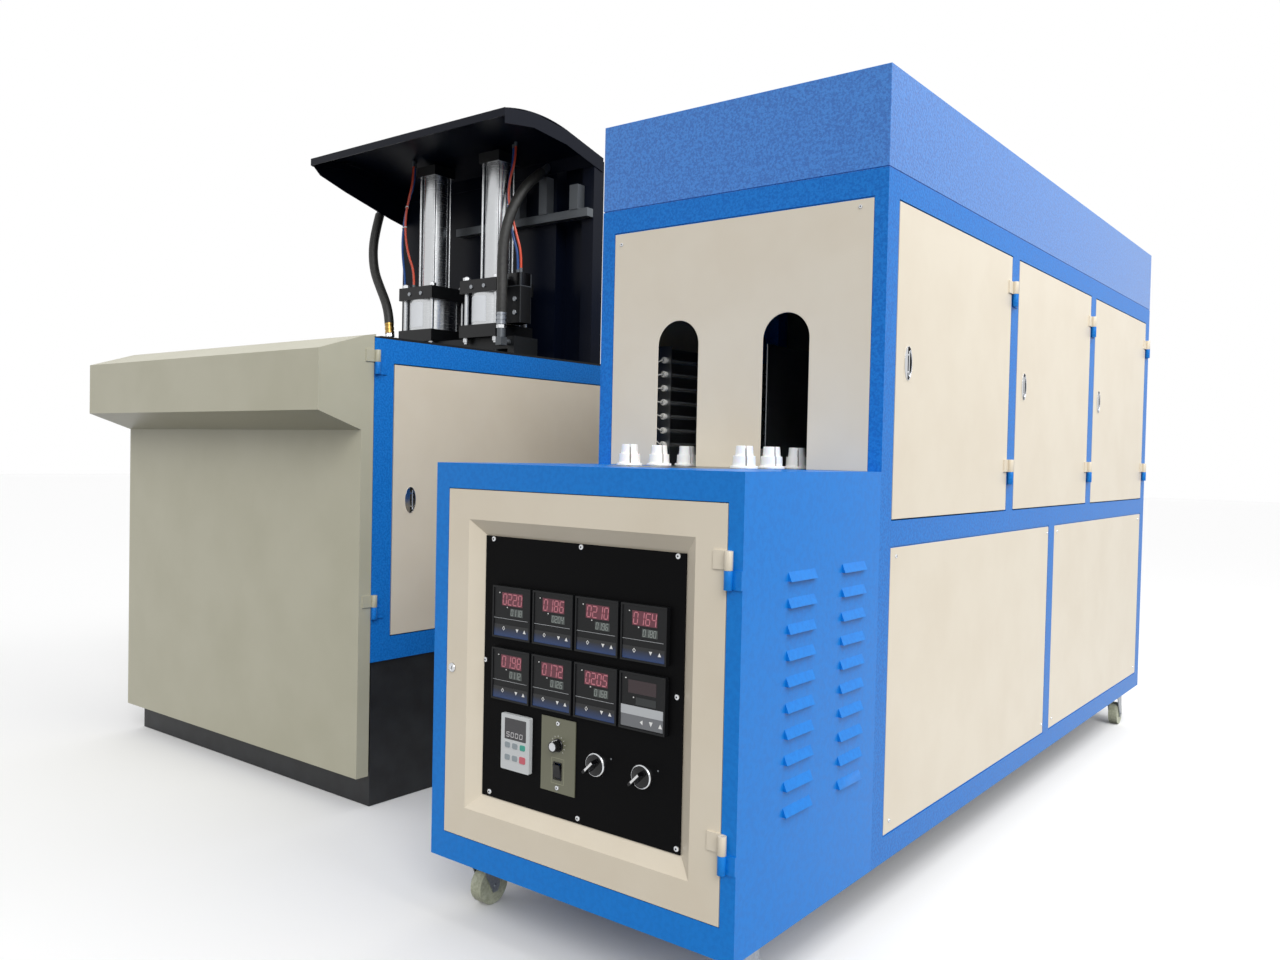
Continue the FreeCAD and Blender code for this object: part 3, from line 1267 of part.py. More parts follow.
def clamp_frame():
    """Bed beams, fixed platen, ram plate, four tie bars and the clamp cylinder."""
    front = FIXED_MOULD_Y - PLATEN_T
    pieces = []
    for x in (BLOW_CX - TIE_BAR_X, BLOW_CX + TIE_BAR_X):
        pieces.append(block(x - BED_W / 2, x + BED_W / 2, BY0 + CONSOLE_BACK, BY1 - 2 * SEAT_T,
                            PLINTH_H + BLOW_TUBE, BED_TOP))
    for y in (front, RAM_PLATE_Y):
        plate = platen(y, PLATEN_T)
        plate = plate.fuse(block(BLOW_CX - PLATEN_W / 2, BLOW_CX + PLATEN_W / 2, y,
                                 y + PLATEN_T, BED_TOP, PLATEN_Z0))
        pieces.append(plate)
    for x, z in tie_bar_centres():
        pieces.append(rod(TIE_BAR_R, V(x, front - TIE_BAR_NUT, z),
                          V(x, RAM_PLATE_Y + PLATEN_T + TIE_BAR_NUT, z)))
    start = V(BLOW_CX, RAM_FRONT, RAM_Z)
    inner = V(BLOW_CX, RAM_FRONT + RAM_CAP, RAM_Z)
    end = V(BLOW_CX, RAM_PLATE_Y, RAM_Z)
    barrel = ring(RAM_BORE + RAM_WALL, RAM_BORE, inner, end)
    cap = ring(RAM_BORE + RAM_WALL, RAM_ROD_R + FIT, start, inner)
    return join(pieces + [barrel, cap])


def moving_platen():
    plate = platen(PLATEN_Y, PLATEN_T)
    for x, z in tie_bar_centres():
        plate = plate.cut(rod(TIE_BAR_R + FIT, V(x, PLATEN_Y, z), V(x, PLATEN_Y + PLATEN_T, z)))
    back = RAM_PLATE_Y - FIT
    shaft = rod(RAM_ROD_R, V(BLOW_CX, PLATEN_Y + PLATEN_T, RAM_Z), V(BLOW_CX, back, RAM_Z))
    piston = rod(RAM_BORE - FIT, V(BLOW_CX, back - RAM_PISTON, RAM_Z), V(BLOW_CX, back, RAM_Z))
    return join([plate, shaft, piston])


def bottle(x, y):
    """Inside shape of one bottle, hanging neck up from the mould's top face."""
    profile = [(0, 0)] + [(r, -depth) for r, depth in BOTTLE]
    profile.append((0, -BOTTLE_CROWN))
    return turned(profile, V(x, y, MOULD_TOP))


def mould_block(y):
    return block(BLOW_CX - MOULD_W / 2, BLOW_CX + MOULD_W / 2, y, y + MOULD_T,
                 MOULD_TOP - MOULD_H, MOULD_TOP)


def guide_places():
    half = MOULD_W / 2 - GUIDE_IN
    return [(BLOW_CX + dx, MOULD_TOP - dz) for dx in (-half, half)
            for dz in (GUIDE_IN, MOULD_H - GUIDE_IN)]


def fixed_mould():
    """Front mould half: two bottle cavities, guide pins and cooling ports."""
    cuts = [bottle(x, CYL_Y) for x in CYL_X] + cooling(FIXED_MOULD_Y + COOL_IN)
    half = less(mould_block(FIXED_MOULD_Y), cuts)
    pins = [rod(GUIDE_R, V(x, CYL_Y - GUIDE_ROOT, z), V(x, CYL_Y + GUIDE_L, z)) for x, z in guide_places()]
    return join([half] + pins)


def moving_mould():
    """Rear mould half, shown open, with the bushes that the guide pins enter."""
    cuts = [bottle(x, OPEN_FACE) for x in CYL_X] + cooling(OPEN_FACE + MOULD_T - COOL_IN)
    for x, z in guide_places():
        cuts.append(rod(GUIDE_R + FIT, V(x, OPEN_FACE, z),
                        V(x, OPEN_FACE + GUIDE_L + GUIDE_ROOT, z)))
    return less(mould_block(OPEN_FACE), cuts)


def cooling(y):
    x1 = BLOW_CX + MOULD_W / 2
    heights = [MOULD_TOP - share * MOULD_H for share in COOL_SHARE]
    return [rod(COOL_R, V(x1 - COOL_L, y, z), V(x1, y, z)) for z in heights]


# ---------------------------------------------------------------- machine hood and back wall
HX0 = BX0 + HOOD_X0
HX1 = HX0 + HOOD_W
WALL_Y = BY0 + WALL_BACK


def roof_point(i, x, drop=0.0):
    y, z = ROOF[i]
    return V(x, BY0 + y, z - drop)


def roof_face(x):
    """Bent roof plate in section: a rolled front half and a straight slope to the rear."""
    t = HOOD_PLATE
    top = [Part.Arc(roof_point(0, x), roof_point(1, x), roof_point(2, x)).toShape(),
           Part.LineSegment(roof_point(2, x), roof_point(3, x)).toShape(),
           Part.LineSegment(roof_point(3, x), roof_point(3, x, t)).toShape(),
           Part.LineSegment(roof_point(3, x, t), roof_point(2, x, t)).toShape(),
           Part.Arc(roof_point(2, x, t), roof_point(1, x, t), roof_point(0, x, t)).toShape(),
           Part.LineSegment(roof_point(0, x, t), roof_point(0, x)).toShape()]
    return Part.Face(Part.Wire(top))


def machine_hood():
    """Curved roof over the cylinders, deep left cheek, shallow right flange and front lip."""
    roof = roof_face(HX0).extrude(V(HOOD_W, 0, 0))
    front = BY0 + ROOF[0][0]
    lip = block(HX0, HX1, front - HOOD_PLATE, front, ROOF[0][1] - LIP_H, ROOF[0][1])
    upper = [V(HX0, BY0 + y, z - 1) for y, z in ROOF]
    lower = [V(HX0, BY0 + y, z) for y, z in reversed(CHEEK_LOW)]
    cheek = prism(upper + lower, V(HOOD_PLATE, 0, 0))
    shift = V(HX1 - HX0 - HOOD_PLATE, 0, 0)
    shallow = [V(HX0, BY0 + y, z - FLANGE_H) for y, z in reversed(ROOF)]
    flange = prism(upper + shallow, V(HOOD_PLATE, 0, 0))
    flange.translate(shift)
    return join([roof, lip, cheek, flange])


def back_wall():
    """Two uprights on the deck and the stepped wall sheet between them."""
    z0 = DECK_Z + DECK_T
    z1 = ROOF[3][1] - HOOD_PLATE - 1
    low = ROOF[3][1] - HOOD_PLATE - WALL_GAP
    y = WALL_Y + SHEET
    left = block(HX0 + HOOD_PLATE, HX0 + HOOD_PLATE + UPRIGHT, y, y + UPRIGHT, z0, low)
    right = block(HX1 - HOOD_PLATE - UPRIGHT, HX1 - HOOD_PLATE, y, y + UPRIGHT, z0, low)
    step = HX1 - WALL_RIGHT
    front = block(HX0 + HOOD_PLATE, step, WALL_Y, y, z0, z1)
    side = block(step - SHEET, step, WALL_Y, y + UPRIGHT, z0, low)
    rear = block(step - SHEET, HX1 - HOOD_PLATE - UPRIGHT, y + UPRIGHT - SHEET, y + UPRIGHT,
                 z0, low)
    return join([left, right, front, side, rear])


def air_fittings():
    """Valve rail with its three valves, the side valve and every hose and tube end."""
    rail = block(HX0 + RAIL_START, HX1 - HOOD_PLATE, WALL_Y - RAIL_T, WALL_Y, RAIL_Z,
                 RAIL_Z + RAIL_H)
    pieces = [rail]
    for dx, height in VALVES:
        x = HX1 + dx
        pieces.append(block(x - VALVE_HALF, x + VALVE_HALF, WALL_Y - VALVE_T, WALL_Y,
                            RAIL_Z + RAIL_H, RAIL_Z + RAIL_H + height))
    x = CYL_X[1] + CAP / 2
    wide, front, back = SIDE_VALVE
    pieces.append(block(x, x + wide, CYL_Y - front, CYL_Y + back, SEAL_Z0 + GAP, SIDE_VALVE_TOP))
    return Part.makeCompound([join(pieces)] + hose_ends() + tube_ends())


SIDE_VALVE_TOP = SEAL_Z1 + SIDE_VALVE_UP

# hose routes: chosen by hand from the frame's front, the blow unit's centre and the floor
HOSE_LEFT = ((-373.0, 804.0, 1372.0), (-379.0, 806.0, 1405.0), (-405.0, 812.0, 1455.0),
             (-448.0, 820.0, 1510.0), (-494.0, 826.0, 1580.0), (-512.0, 832.0, 1665.0),
             (-511.0, 846.0, 1745.0), (-509.0, 860.0, 1798.0))
HOSE_RIGHT = ((275.0, 742.0, 1362.0), (275.0, 742.0, 1405.0), (271.0, 745.0, 1480.0),
              (268.0, 748.0, 1560.0), (274.0, 756.0, 1640.0), (284.0, 778.0, 1712.0),
              (290.0, 818.0, 1778.0), (288.0, 872.0, 1825.0), (280.0, 910.0, 1850.0))


def route(points):
    return [V(BLOW_CX + x, BY0 + y, z) for x, y, z in points]


def hose_ends():
    """Crimped ends, standpipe, elbow and bulkheads of the two hoses."""
    left = route(HOSE_LEFT)
    right = route(HOSE_RIGHT)
    return [standpipe(left), bridge_elbow(right), left_bulkhead(left), right_bulkhead(right)]


def standpipe(points):
    """Crimp in line with the hose, on an upright pipe from the deck."""
    end = points[0]
    base = end - (points[1] - end).normalize() * CRIMP_L
    foot = V(base.x, base.y, DECK_Z + DECK_T)
    return join([rod(CRIMP_R, base, end), rod(PIPE_R, foot, base + V(0, 0, PIPE_R))])


def bridge_elbow(points):
    """Crimp above a square elbow that screws into the bridge's front."""
    end = points[0]
    middle = BRIDGE_TOP - BRIDGE_T / 2
    half = PIPE_R + GAP
    body = block(end.x - half, end.x + half, end.y - half, end.y + half, middle - half,
                 middle + half)
    crimp = rod(CRIMP_R, V(end.x, end.y, middle + half), end)
    union = rod(PIPE_R, V(end.x, end.y + half, middle), V(end.x, CYL_Y - BRIDGE_W / 2, middle))
    return join([body, crimp, union])


def left_bulkhead(points):
    """Crimp with a union that screws on to the hood's left cheek."""
    end = points[-1]
    way = (end - points[-2]).normalize()
    turn = end + way * CRIMP_L / 2
    return join([rod(CRIMP_R, end, end + way * CRIMP_L),
                 rod(PIPE_R, turn, V(HX0, turn.y, turn.z))])


def right_bulkhead(points):
    """Crimp that ends flat against the back wall."""
    end = points[-1]
    way = (end - points[-2]).normalize()
    length = (WALL_Y - end.y) / way.y
    pipe = rod(CRIMP_R, end, end + way * (length + CRIMP_R))
    wall = block(end.x - CRIMP_L, end.x + CRIMP_L, WALL_Y, WALL_Y + 2 * CRIMP_L,
                 end.z - CRIMP_L, end.z + 2 * CRIMP_L)
    return pipe.cut(wall)


def smooth_path(points, share=0.45):
    """Straight runs joined by the largest tangent arcs that the runs allow."""
    edges = []
    radii = []
    start = points[0]
    for before, corner, after in zip(points, points[1:], points[2:]):
        back = (before - corner).normalize()
        on = (after - corner).normalize()
        half = back.getAngle(on) / 2
        trim = share * min((before - corner).Length, (after - corner).Length)
        radius = trim * math.tan(half)
        radii.append(radius)
        first = corner + back * trim
        last = corner + on * trim
        centre = corner + (back + on).normalize() * (radius / math.sin(half))
        middle = centre + (corner - centre).normalize() * radius
        edges.append(Part.LineSegment(start, first).toShape())
        edges.append(Part.Arc(first, middle, last).toShape())
        start = last
    edges.append(Part.LineSegment(start, points[-1]).toShape())
    return Part.Wire(edges), radii


def hose(name, points, radius):
    path, radii = smooth_path(points)
    way = points[1] - points[0]
    section = Part.Wire(Part.makeCircle(radius, points[0], way))
    tube = path.makePipeShell([section], True, False)
    share = tube.Volume / (math.pi * radius ** 2 * path.Length)
    print(name, "length %.0f" % path.Length, "volume share %.4f" % share,
          "least radius %.0f" % min(radii))
    return tube


# air tubes: from the underside of the roof to the cylinders
TUBES = {
    "tube_left_red": ((-216.0, 776.0, 1916.0), (-216.0, 776.0, 1870.0), (-226.0, 768.0, 1810.0),
                      (-238.0, 762.0, 1745.0), (-238.0, 762.0, 1670.0), (-226.0, 768.0, 1600.0),
                      (-211.0, 782.0, 1545.0), (-211.0, 782.0, 1497.0)),
    "tube_left_blue": ((-232.0, 796.0, 1916.0), (-232.0, 796.0, 1865.0), (-246.0, 782.0, 1800.0),
                       (-258.0, 774.0, 1735.0), (-264.0, 770.0, 1665.0), (-266.0, 774.0, 1600.0),
                       (-267.0, 788.0, 1525.0), (-267.0, 788.0, 1475.0)),
    "tube_right_red": ((262.0, 806.0, 1916.0), (262.0, 806.0, 1870.0), (251.0, 794.0, 1815.0),
                       (246.0, 790.0, 1750.0), (262.0, 792.0, 1690.0), (282.0, 798.0, 1620.0),
                       (294.0, 808.0, 1565.0), (294.0, 808.0, 1514.0)),
    "tube_right_blue": ((240.0, 818.0, 1916.0), (240.0, 818.0, 1870.0), (232.0, 808.0, 1810.0),
                        (230.0, 806.0, 1745.0), (238.0, 808.0, 1680.0), (252.0, 814.0, 1615.0),
                        (264.0, 824.0, 1565.0), (264.0, 824.0, 1514.0)),
}

TUBE_SEATS = {
    "tube_left_red": ROD_Z0,
    "tube_right_red": SIDE_VALVE_TOP,
    "tube_right_blue": SIDE_VALVE_TOP,
}


def tube_ends():
    """Push-in fittings at both ends of each air tube."""
    ends = []
    for points in TUBES.values():
        top = route(points)[0]
        back = top.y - BY0
        roof = min(roof_under(back - PUSH_R), roof_under(back + PUSH_R))
        ends.append(rod(PUSH_R, top, V(top.x, top.y, roof)))
    for name, seat in TUBE_SEATS.items():
        end = route(TUBES[name])[-1]
        ends.append(rod(PUSH_R, V(end.x, end.y, seat), end))
    return ends + [cap_elbow(route(TUBES["tube_left_blue"])[-1])]


def cap_elbow(end):
    """Square elbow from a tube's end into the side of the left cylinder's upper cap."""
    z = SEAL_Z1 + CAP_H / 2
    half = ELBOW
    body = block(end.x - half, end.x + half, end.y - half, end.y + half, z - half, z + half)
    socket = rod(PUSH_R, V(end.x, end.y, z + half), end)
    thread = rod(PUSH_R, V(end.x + half, end.y, z), V(CYL_X[0] - CAP / 2, end.y, z))
    return join([body, socket, thread])


# ---------------------------------------------------------------- nodes
def nodes():
    shapes = {
        "oven_frame": oven_frame(),
        "oven_hood": oven_hood(),
        "control_box": control_box(),
        "oven_table": oven_table(),
        "oven_front_panel": oven_front_panel(),
        "fixed_panels": fixed_panels(),
        "control_door": control_door(),
        "instrument_panel": instrument_panel(),
        "panel_meters": panel_meters(),
        "panel_fittings": panel_fittings(),
        "speed_knob": speed_knob(),
        "power_rocker": power_rocker(),
        "selector_lever_1": selector_lever(0),
        "selector_lever_2": selector_lever(1),
        "lamp_racks": lamp_racks(),
        "lamps": lamps(),
        "chain_beam": chain_beam(),
        "holder_chain": holder_chain(),
        "preform_holders": preform_holders(),
        "drive_sprocket": sprocket(LOOP_Y1, GEARBOX_TOP - SHAFT_DEEP),
        "idler_sprocket": sprocket(LOOP_Y0, MID_RAIL_Z + TUBE),
        "gear_motor": gear_motor(),
        "caster_plates": caster_plates(),
        "blow_plinth": blow_plinth(),
        "blow_frame": blow_frame(),
        "console_door": console_door(),
        "blow_side_door": blow_side_door(),
        "blow_door_latch": door_latch(BX1, blow_door_span()[0], BLOW_DOOR_Z0, BLOW_DOOR_Z1),
        "cylinder_bridge": cylinder_bridge(),
        "cylinder_caps": cylinder_caps(),
        "cylinder_barrels": cylinder_barrels(),
        "clamp_frame": clamp_frame(),
        "moving_platen": moving_platen(),
        "fixed_mould": fixed_mould(),
        "moving_mould": moving_mould(),
        "machine_hood": machine_hood(),
        "back_wall": back_wall(),
        "air_fittings": air_fittings(),
        "hose_left": hose("hose_left", route(HOSE_LEFT), HOSE_R),
        "hose_right": hose("hose_right", route(HOSE_RIGHT), HOSE_R),
    }
    for i, (y0, y1) in enumerate(bay_doors()):
        shapes["side_door_%d" % (i + 1)] = side_door(OX1, y0, y1, DOOR_Z0, DOOR_Z1, DOOR_HINGES)
        shapes["door_latch_%d" % (i + 1)] = door_latch(OX1, y0, DOOR_Z0, DOOR_Z1)
    for i in range(2):
        shapes["caster_fork_%d" % (i + 1)] = fork(i, FORK_TOP)
        shapes["nozzle_%d" % (i + 1)] = blow_nozzle(i)
        shapes["stretch_rod_%d" % (i + 1)] = stretch_rod(i)
    for i in range(4):
        shapes["caster_wheel_%d" % (i + 1)] = caster_wheel(i)
    for name, points in TUBES.items():
        shapes[name] = hose(name, route(points), TUBE_R)
    return shapes


def main():
    os.makedirs("parts", exist_ok=True)
    for name, shape in nodes().items():
        shape.exportStep(os.path.join("parts", name + ".step"))
        print(name, "solids", len(shape.Solids), "valid", shape.isValid())


main()
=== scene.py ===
# %% [markdown]
# # A blow moulding machine, dressed
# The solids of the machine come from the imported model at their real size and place. This script
# gives them their paint, metal and plastic, adds the small things that are seen from a step away,
# such as digits, keys, screws and lamp ends, and sets up a plain studio round them.

# %% Load the frame
import json
import math
import random

import bmesh
import bpy
from mathutils import Matrix, Vector


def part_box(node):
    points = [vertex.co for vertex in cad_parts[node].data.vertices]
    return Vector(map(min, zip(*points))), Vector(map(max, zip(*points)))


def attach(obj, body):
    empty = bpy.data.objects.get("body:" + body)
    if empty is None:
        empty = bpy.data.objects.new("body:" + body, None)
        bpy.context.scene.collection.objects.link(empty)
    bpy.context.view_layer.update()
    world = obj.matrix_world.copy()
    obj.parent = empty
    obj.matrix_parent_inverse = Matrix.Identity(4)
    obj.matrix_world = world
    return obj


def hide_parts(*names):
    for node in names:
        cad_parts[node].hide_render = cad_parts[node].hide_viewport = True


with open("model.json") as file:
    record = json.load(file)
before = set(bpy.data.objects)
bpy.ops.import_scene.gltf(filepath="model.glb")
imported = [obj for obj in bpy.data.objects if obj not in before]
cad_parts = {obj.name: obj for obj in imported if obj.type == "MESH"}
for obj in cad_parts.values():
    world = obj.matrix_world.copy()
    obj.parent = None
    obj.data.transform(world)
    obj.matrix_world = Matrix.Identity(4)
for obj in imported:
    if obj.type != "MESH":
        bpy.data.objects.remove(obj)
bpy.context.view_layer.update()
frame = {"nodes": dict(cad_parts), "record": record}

NODES = frame["nodes"]
MM = 0.001

# %% [markdown]
# ## Reference planes
# Every added piece is placed from the solids, so it sits on what carries it. These are the planes
# and centres that several pieces need. The heater is the right-hand cabinet: its control box
# stands in front of the tunnel. The blow unit is the cabinet on the left.

# %% Planes and centres
HOOD_LOW, HOOD_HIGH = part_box("oven_hood")
OVEN_LEFT, OVEN_RIGHT = HOOD_LOW.x, HOOD_HIGH.x
TUNNEL_FRONT = HOOD_LOW.y
PANEL_LOW, PANEL_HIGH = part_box("instrument_panel")
PANEL_FACE = PANEL_LOW.y
PANEL_SET_BACK = 17 * MM
BOX_FRONT = PANEL_FACE - PANEL_SET_BACK
PANEL_X = (PANEL_LOW.x + PANEL_HIGH.x) / 2
PLINTH_LOW, PLINTH_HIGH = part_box("blow_plinth")
PLINTH_INSET = 10 * MM
BLOW_X = (PLINTH_LOW.x + PLINTH_HIGH.x) / 2
BLOW_FRONT = PLINTH_LOW.y - PLINTH_INSET
print("heater front corner at", round(OVEN_RIGHT, 4), round(BOX_FRONT, 4))


def centre_of(node):
    """Middle of a solid's box."""
    low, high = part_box(node)
    return (low + high) / 2


def put_in_scene(name, data):
    """Object that shows some data, linked to the scene."""
    thing = bpy.data.objects.new(name, data)
    bpy.context.scene.collection.objects.link(thing)
    return thing


# %% [markdown]
# ## The camera
# It stands where the photograph was taken from: before the heater's right front corner, about
# 0.9 m above the floor, turned to the left and tipped very slightly. A lens of 29 mm on a frame
# 36 mm wide gives the same strong perspective. Its place is measured from that corner.

# %% Camera
CAMERA_ASIDE, CAMERA_BEFORE, CAMERA_HEIGHT = 0.8376, 1.3413, 0.9077
LENS_MM, FRAME_MM = 29.05, 36.0


def aim(yaw, pitch, roll):
    """Right, up and forward directions of a camera turned by three angles in degrees."""
    yaw, pitch, roll = math.radians(yaw), math.radians(pitch), math.radians(roll)
    ahead = Vector((-math.sin(yaw) * math.cos(pitch), math.cos(yaw) * math.cos(pitch),
                    math.sin(pitch)))
    level = Vector((math.cos(yaw), math.sin(yaw), 0.0))
    above = level.cross(ahead)
    right = level * math.cos(roll) + above * math.sin(roll)
    up = above * math.cos(roll) - level * math.sin(roll)
    return right, up, ahead


CAMERA_PLACE = Vector((OVEN_RIGHT + CAMERA_ASIDE, BOX_FRONT - CAMERA_BEFORE, CAMERA_HEIGHT))
right, up, ahead = aim(yaw=37.792, pitch=-1.372, roll=1.225)
lens = bpy.data.cameras.new("studio_camera")
lens.sensor_fit = "HORIZONTAL"
lens.sensor_width = FRAME_MM
lens.lens = LENS_MM
camera = put_in_scene("studio_camera", lens)
camera.matrix_world = Matrix((
    (right.x, up.x, -ahead.x, CAMERA_PLACE.x),
    (right.y, up.y, -ahead.y, CAMERA_PLACE.y),
    (right.z, up.z, -ahead.z, CAMERA_PLACE.z),
    (0.0, 0.0, 0.0, 1.0)))
bpy.context.scene.camera = camera
print("camera", [round(v, 3) for v in CAMERA_PLACE])

# %% [markdown]
# ## Hoses and air tubes
# Two stiff rubber hoses and four polyurethane air tubes run from the cylinders to the hood. A
# swept mesh would do, but a NURBS spline is chosen: it bends gently between its control points,
# as a pressurised hose does. The points are the route's own, in metres from the blow unit's
# middle, its front and the floor.

# %% Cords
ROUTES = {
    "hose_left": ((-.373, .804, 1.372), (-.379, .806, 1.405), (-.405, .812, 1.455),
                  (-.448, .820, 1.510), (-.494, .826, 1.580), (-.512, .832, 1.665),
                  (-.511, .846, 1.745), (-.509, .860, 1.798)),
    "hose_right": ((.275, .742, 1.362), (.275, .742, 1.405), (.271, .745, 1.480),
                   (.268, .748, 1.560), (.274, .756, 1.640), (.284, .778, 1.712),
                   (.290, .818, 1.778), (.288, .872, 1.825), (.280, .910, 1.850)),
    "tube_left_red": ((-.216, .776, 1.916), (-.216, .776, 1.870), (-.226, .768, 1.810),
                      (-.238, .762, 1.745), (-.238, .762, 1.670), (-.226, .768, 1.600),
                      (-.211, .782, 1.545), (-.211, .782, 1.497)),
    "tube_left_blue": ((-.232, .796, 1.916), (-.232, .796, 1.865), (-.246, .782, 1.800),
                       (-.258, .774, 1.735), (-.264, .770, 1.665), (-.266, .774, 1.600),
                       (-.267, .788, 1.525), (-.267, .788, 1.475)),
    "tube_right_red": ((.262, .806, 1.916), (.262, .806, 1.870), (.251, .794, 1.815),
                       (.246, .790, 1.750), (.262, .792, 1.690), (.282, .798, 1.620),
                       (.294, .808, 1.565), (.294, .808, 1.514)),
    "tube_right_blue": ((.240, .818, 1.916), (.240, .818, 1.870), (.232, .808, 1.810),
                        (.230, .806, 1.745), (.238, .808, 1.680), (.252, .814, 1.615),
                        (.264, .824, 1.565), (.264, .824, 1.514)),
}
HOSE_RADIUS = 17 * MM
TUBE_RADIUS = 4 * MM


def on_blow_unit(point):
    """A point given from the blow unit's middle, front and floor."""
    return Vector((BLOW_X + point[0], BLOW_FRONT + point[1], point[2]))


def run_length(points):
    """Length of a route's straight runs, added up; the smooth cord is a little shorter."""
    return sum((b - a).length for a, b in zip(points, points[1:]))


def cord_curve(name, points, radius):
    """Round cord along one smooth spline; each knot holds the cord's radius in metres."""
    data = bpy.data.curves.new(name, "CURVE")
    data.dimensions = "3D"
    # The bevel is one metre times each knot's radius, so the curve's box is the cord's own.
    data.bevel_depth = 1.0
    data.bevel_resolution = 6
    data.resolution_u = 10
    data.use_fill_caps = True
    spline = data.splines.new("NURBS")
    spline.points.add(len(points) - 1)
    for knot, point in zip(spline.points, points):
        knot.co = (*point, 1.0)
        knot.radius = radius
    spline.order_u = 3
    spline.use_endpoint_u = True
    return put_in_scene(name, data)


CORDS = {}
for name, route in ROUTES.items():
    points = [on_blow_unit(point) for point in route]
    radius = HOSE_RADIUS if name.startswith("hose") else TUBE_RADIUS
    cord = cord_curve("dressed_" + name, points, radius)
    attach(cord, "machine")
    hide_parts(name)
    CORDS[name] = cord
    print(name, "runs add up to", round(run_length(points), 3), "m")

# %% [markdown]
# ## Colours and nodes
# Colours are written as sRGB hex, as they are picked from a swatch, and turned to the linear
# values that the shader works in. One small function adds a node, sets it and links it.

# %% Helpers for finishes
def linear(hex_colour):
    """sRGB hex to linear RGBA."""
    channels = [int(hex_colour[i:i + 2], 16) / 255 for i in (1, 3, 5)]
    return [c / 12.92 if c <= 0.04045 else ((c + 0.055) / 1.055) ** 2.4 for c in channels] + [1.0]


def add(tree, kind, inputs={}, **settings):
    """Add a node; inputs are values, or other nodes' outputs to link."""
    node = tree.nodes.new(kind)
    for name, value in settings.items():
        setattr(node, name, value)
    for name, value in inputs.items():
        if isinstance(value, bpy.types.NodeSocket):
            tree.links.new(value, node.inputs[name])
        else:
            node.inputs[name].default_value = value
    return node


def new_finish(name, colour, roughness, metallic=0.0, **sockets):
    """Material with its uniform values on the shader's own sockets."""
    material = bpy.data.materials.new(name)
    material.use_nodes = True
    shader = material.node_tree.nodes["Principled BSDF"]
    shader.inputs["Base Color"].default_value = linear(colour)
    shader.inputs["Roughness"].default_value = roughness
    shader.inputs["Metallic"].default_value = metallic
    for socket, value in sockets.items():
        shader.inputs[socket.replace("_", " ")].default_value = value
    return material


def per_metre(size_mm):
    """Texture scale at which one cell of a pattern measures this many millimetres."""
    return 1000.0 / size_mm


def mottle(material, dark, light, size_mm, stretch=(1, 1, 1), spread=(0.35, 0.65), detail=3.0):
    """Colour that wanders between two shades in patches of a real size."""
    tree = material.node_tree
    shader = tree.nodes["Principled BSDF"]
    where = add(tree, "ShaderNodeTexCoord")
    scaled = add(tree, "ShaderNodeMapping", {"Vector": where.outputs["Object"], "Scale": stretch})
    noise = add(tree, "ShaderNodeTexNoise", {"Vector": scaled.outputs["Vector"],
                "Scale": per_metre(size_mm), "Detail": detail, "Roughness": 0.55})
    ramp = add(tree, "ShaderNodeValToRGB", {"Fac": noise.outputs["Fac"]})
    ramp.color_ramp.elements[0].position = spread[0]
    ramp.color_ramp.elements[0].color = linear(dark)
    ramp.color_ramp.elements[1].position = spread[1]
    ramp.color_ramp.elements[1].color = linear(light)
    tree.links.new(ramp.outputs["Color"], shader.inputs["Base Color"])
    return material


def grain(material, size_mm, depth_mm, stretch=(1, 1, 1), rough=None, detail=2.0):
    """Surface relief of a real size and depth; rough varies the gloss with it."""
    tree = material.node_tree
    shader = tree.nodes["Principled BSDF"]
    where = add(tree, "ShaderNodeTexCoord")
    scaled = add(tree, "ShaderNodeMapping", {"Vector": where.outputs["Object"], "Scale": stretch})
    noise = add(tree, "ShaderNodeTexNoise", {"Vector": scaled.outputs["Vector"],
                "Scale": per_metre(size_mm), "Detail": detail})
    bump = add(tree, "ShaderNodeBump", {"Height": noise.outputs["Fac"], "Distance": depth_mm * MM,
               "Strength": 1.0})
    tree.links.new(bump.outputs["Normal"], shader.inputs["Normal"])
    if rough:
        gloss = add(tree, "ShaderNodeMapRange", {"Value": noise.outputs["Fac"],
                    "To Min": rough[0], "To Max": rough[1]})
        tree.links.new(gloss.outputs["Result"], shader.inputs["Roughness"])
    return material


# %% [markdown]
# ## Painted steel
# The cabinets are folded steel sheet on welded square tube. The frame and the hood wear a
# hammered stove enamel: silicone in the paint pulls it into small dimples, which break up every
# reflection. The control box has the same blue, sprayed thinner, so it is nearly smooth. The
# doors and panels are powder coated in a warm beige that shows a fine orange peel.

# %% Paints
def hammered(name, dark, light, dimple_mm, depth_mm, sheen):
    """Hammered enamel: dimples a few millimetres across, each with a lighter rim."""
    material = new_finish(name, light, 0.38, Specular_IOR_Level=sheen,
                          Coat_Weight=max(0.0, sheen - 0.1), Coat_Roughness=0.15)
    mottle(material, dark, light, dimple_mm, spread=(0.38, 0.60), detail=2.0)
    return grain(material, dimple_mm, depth_mm, rough=(0.30, 0.50))


FINISH = {}
# Hood: coarse dimples that read as speckle from a step away; drawn a little over life size.
FINISH["hood_blue"] = hammered("hammered_enamel_hood", "#1a66b8", "#2f7ed0", 5.0, 0.9, 0.5)
# Frame: the same enamel, finer and flatter on the narrow tubes.
FINISH["hammer_blue"] = hammered("hammered_enamel_frame", "#0b68bd", "#1778cd", 5.0, 0.5, 0.16)
# Control box: smooth enamel with a slight waviness and a soft sheen.
FINISH["box_blue"] = hammered("smooth_enamel_box", "#0674cc", "#0d7bd3", 9.0, 0.12, 0.20)
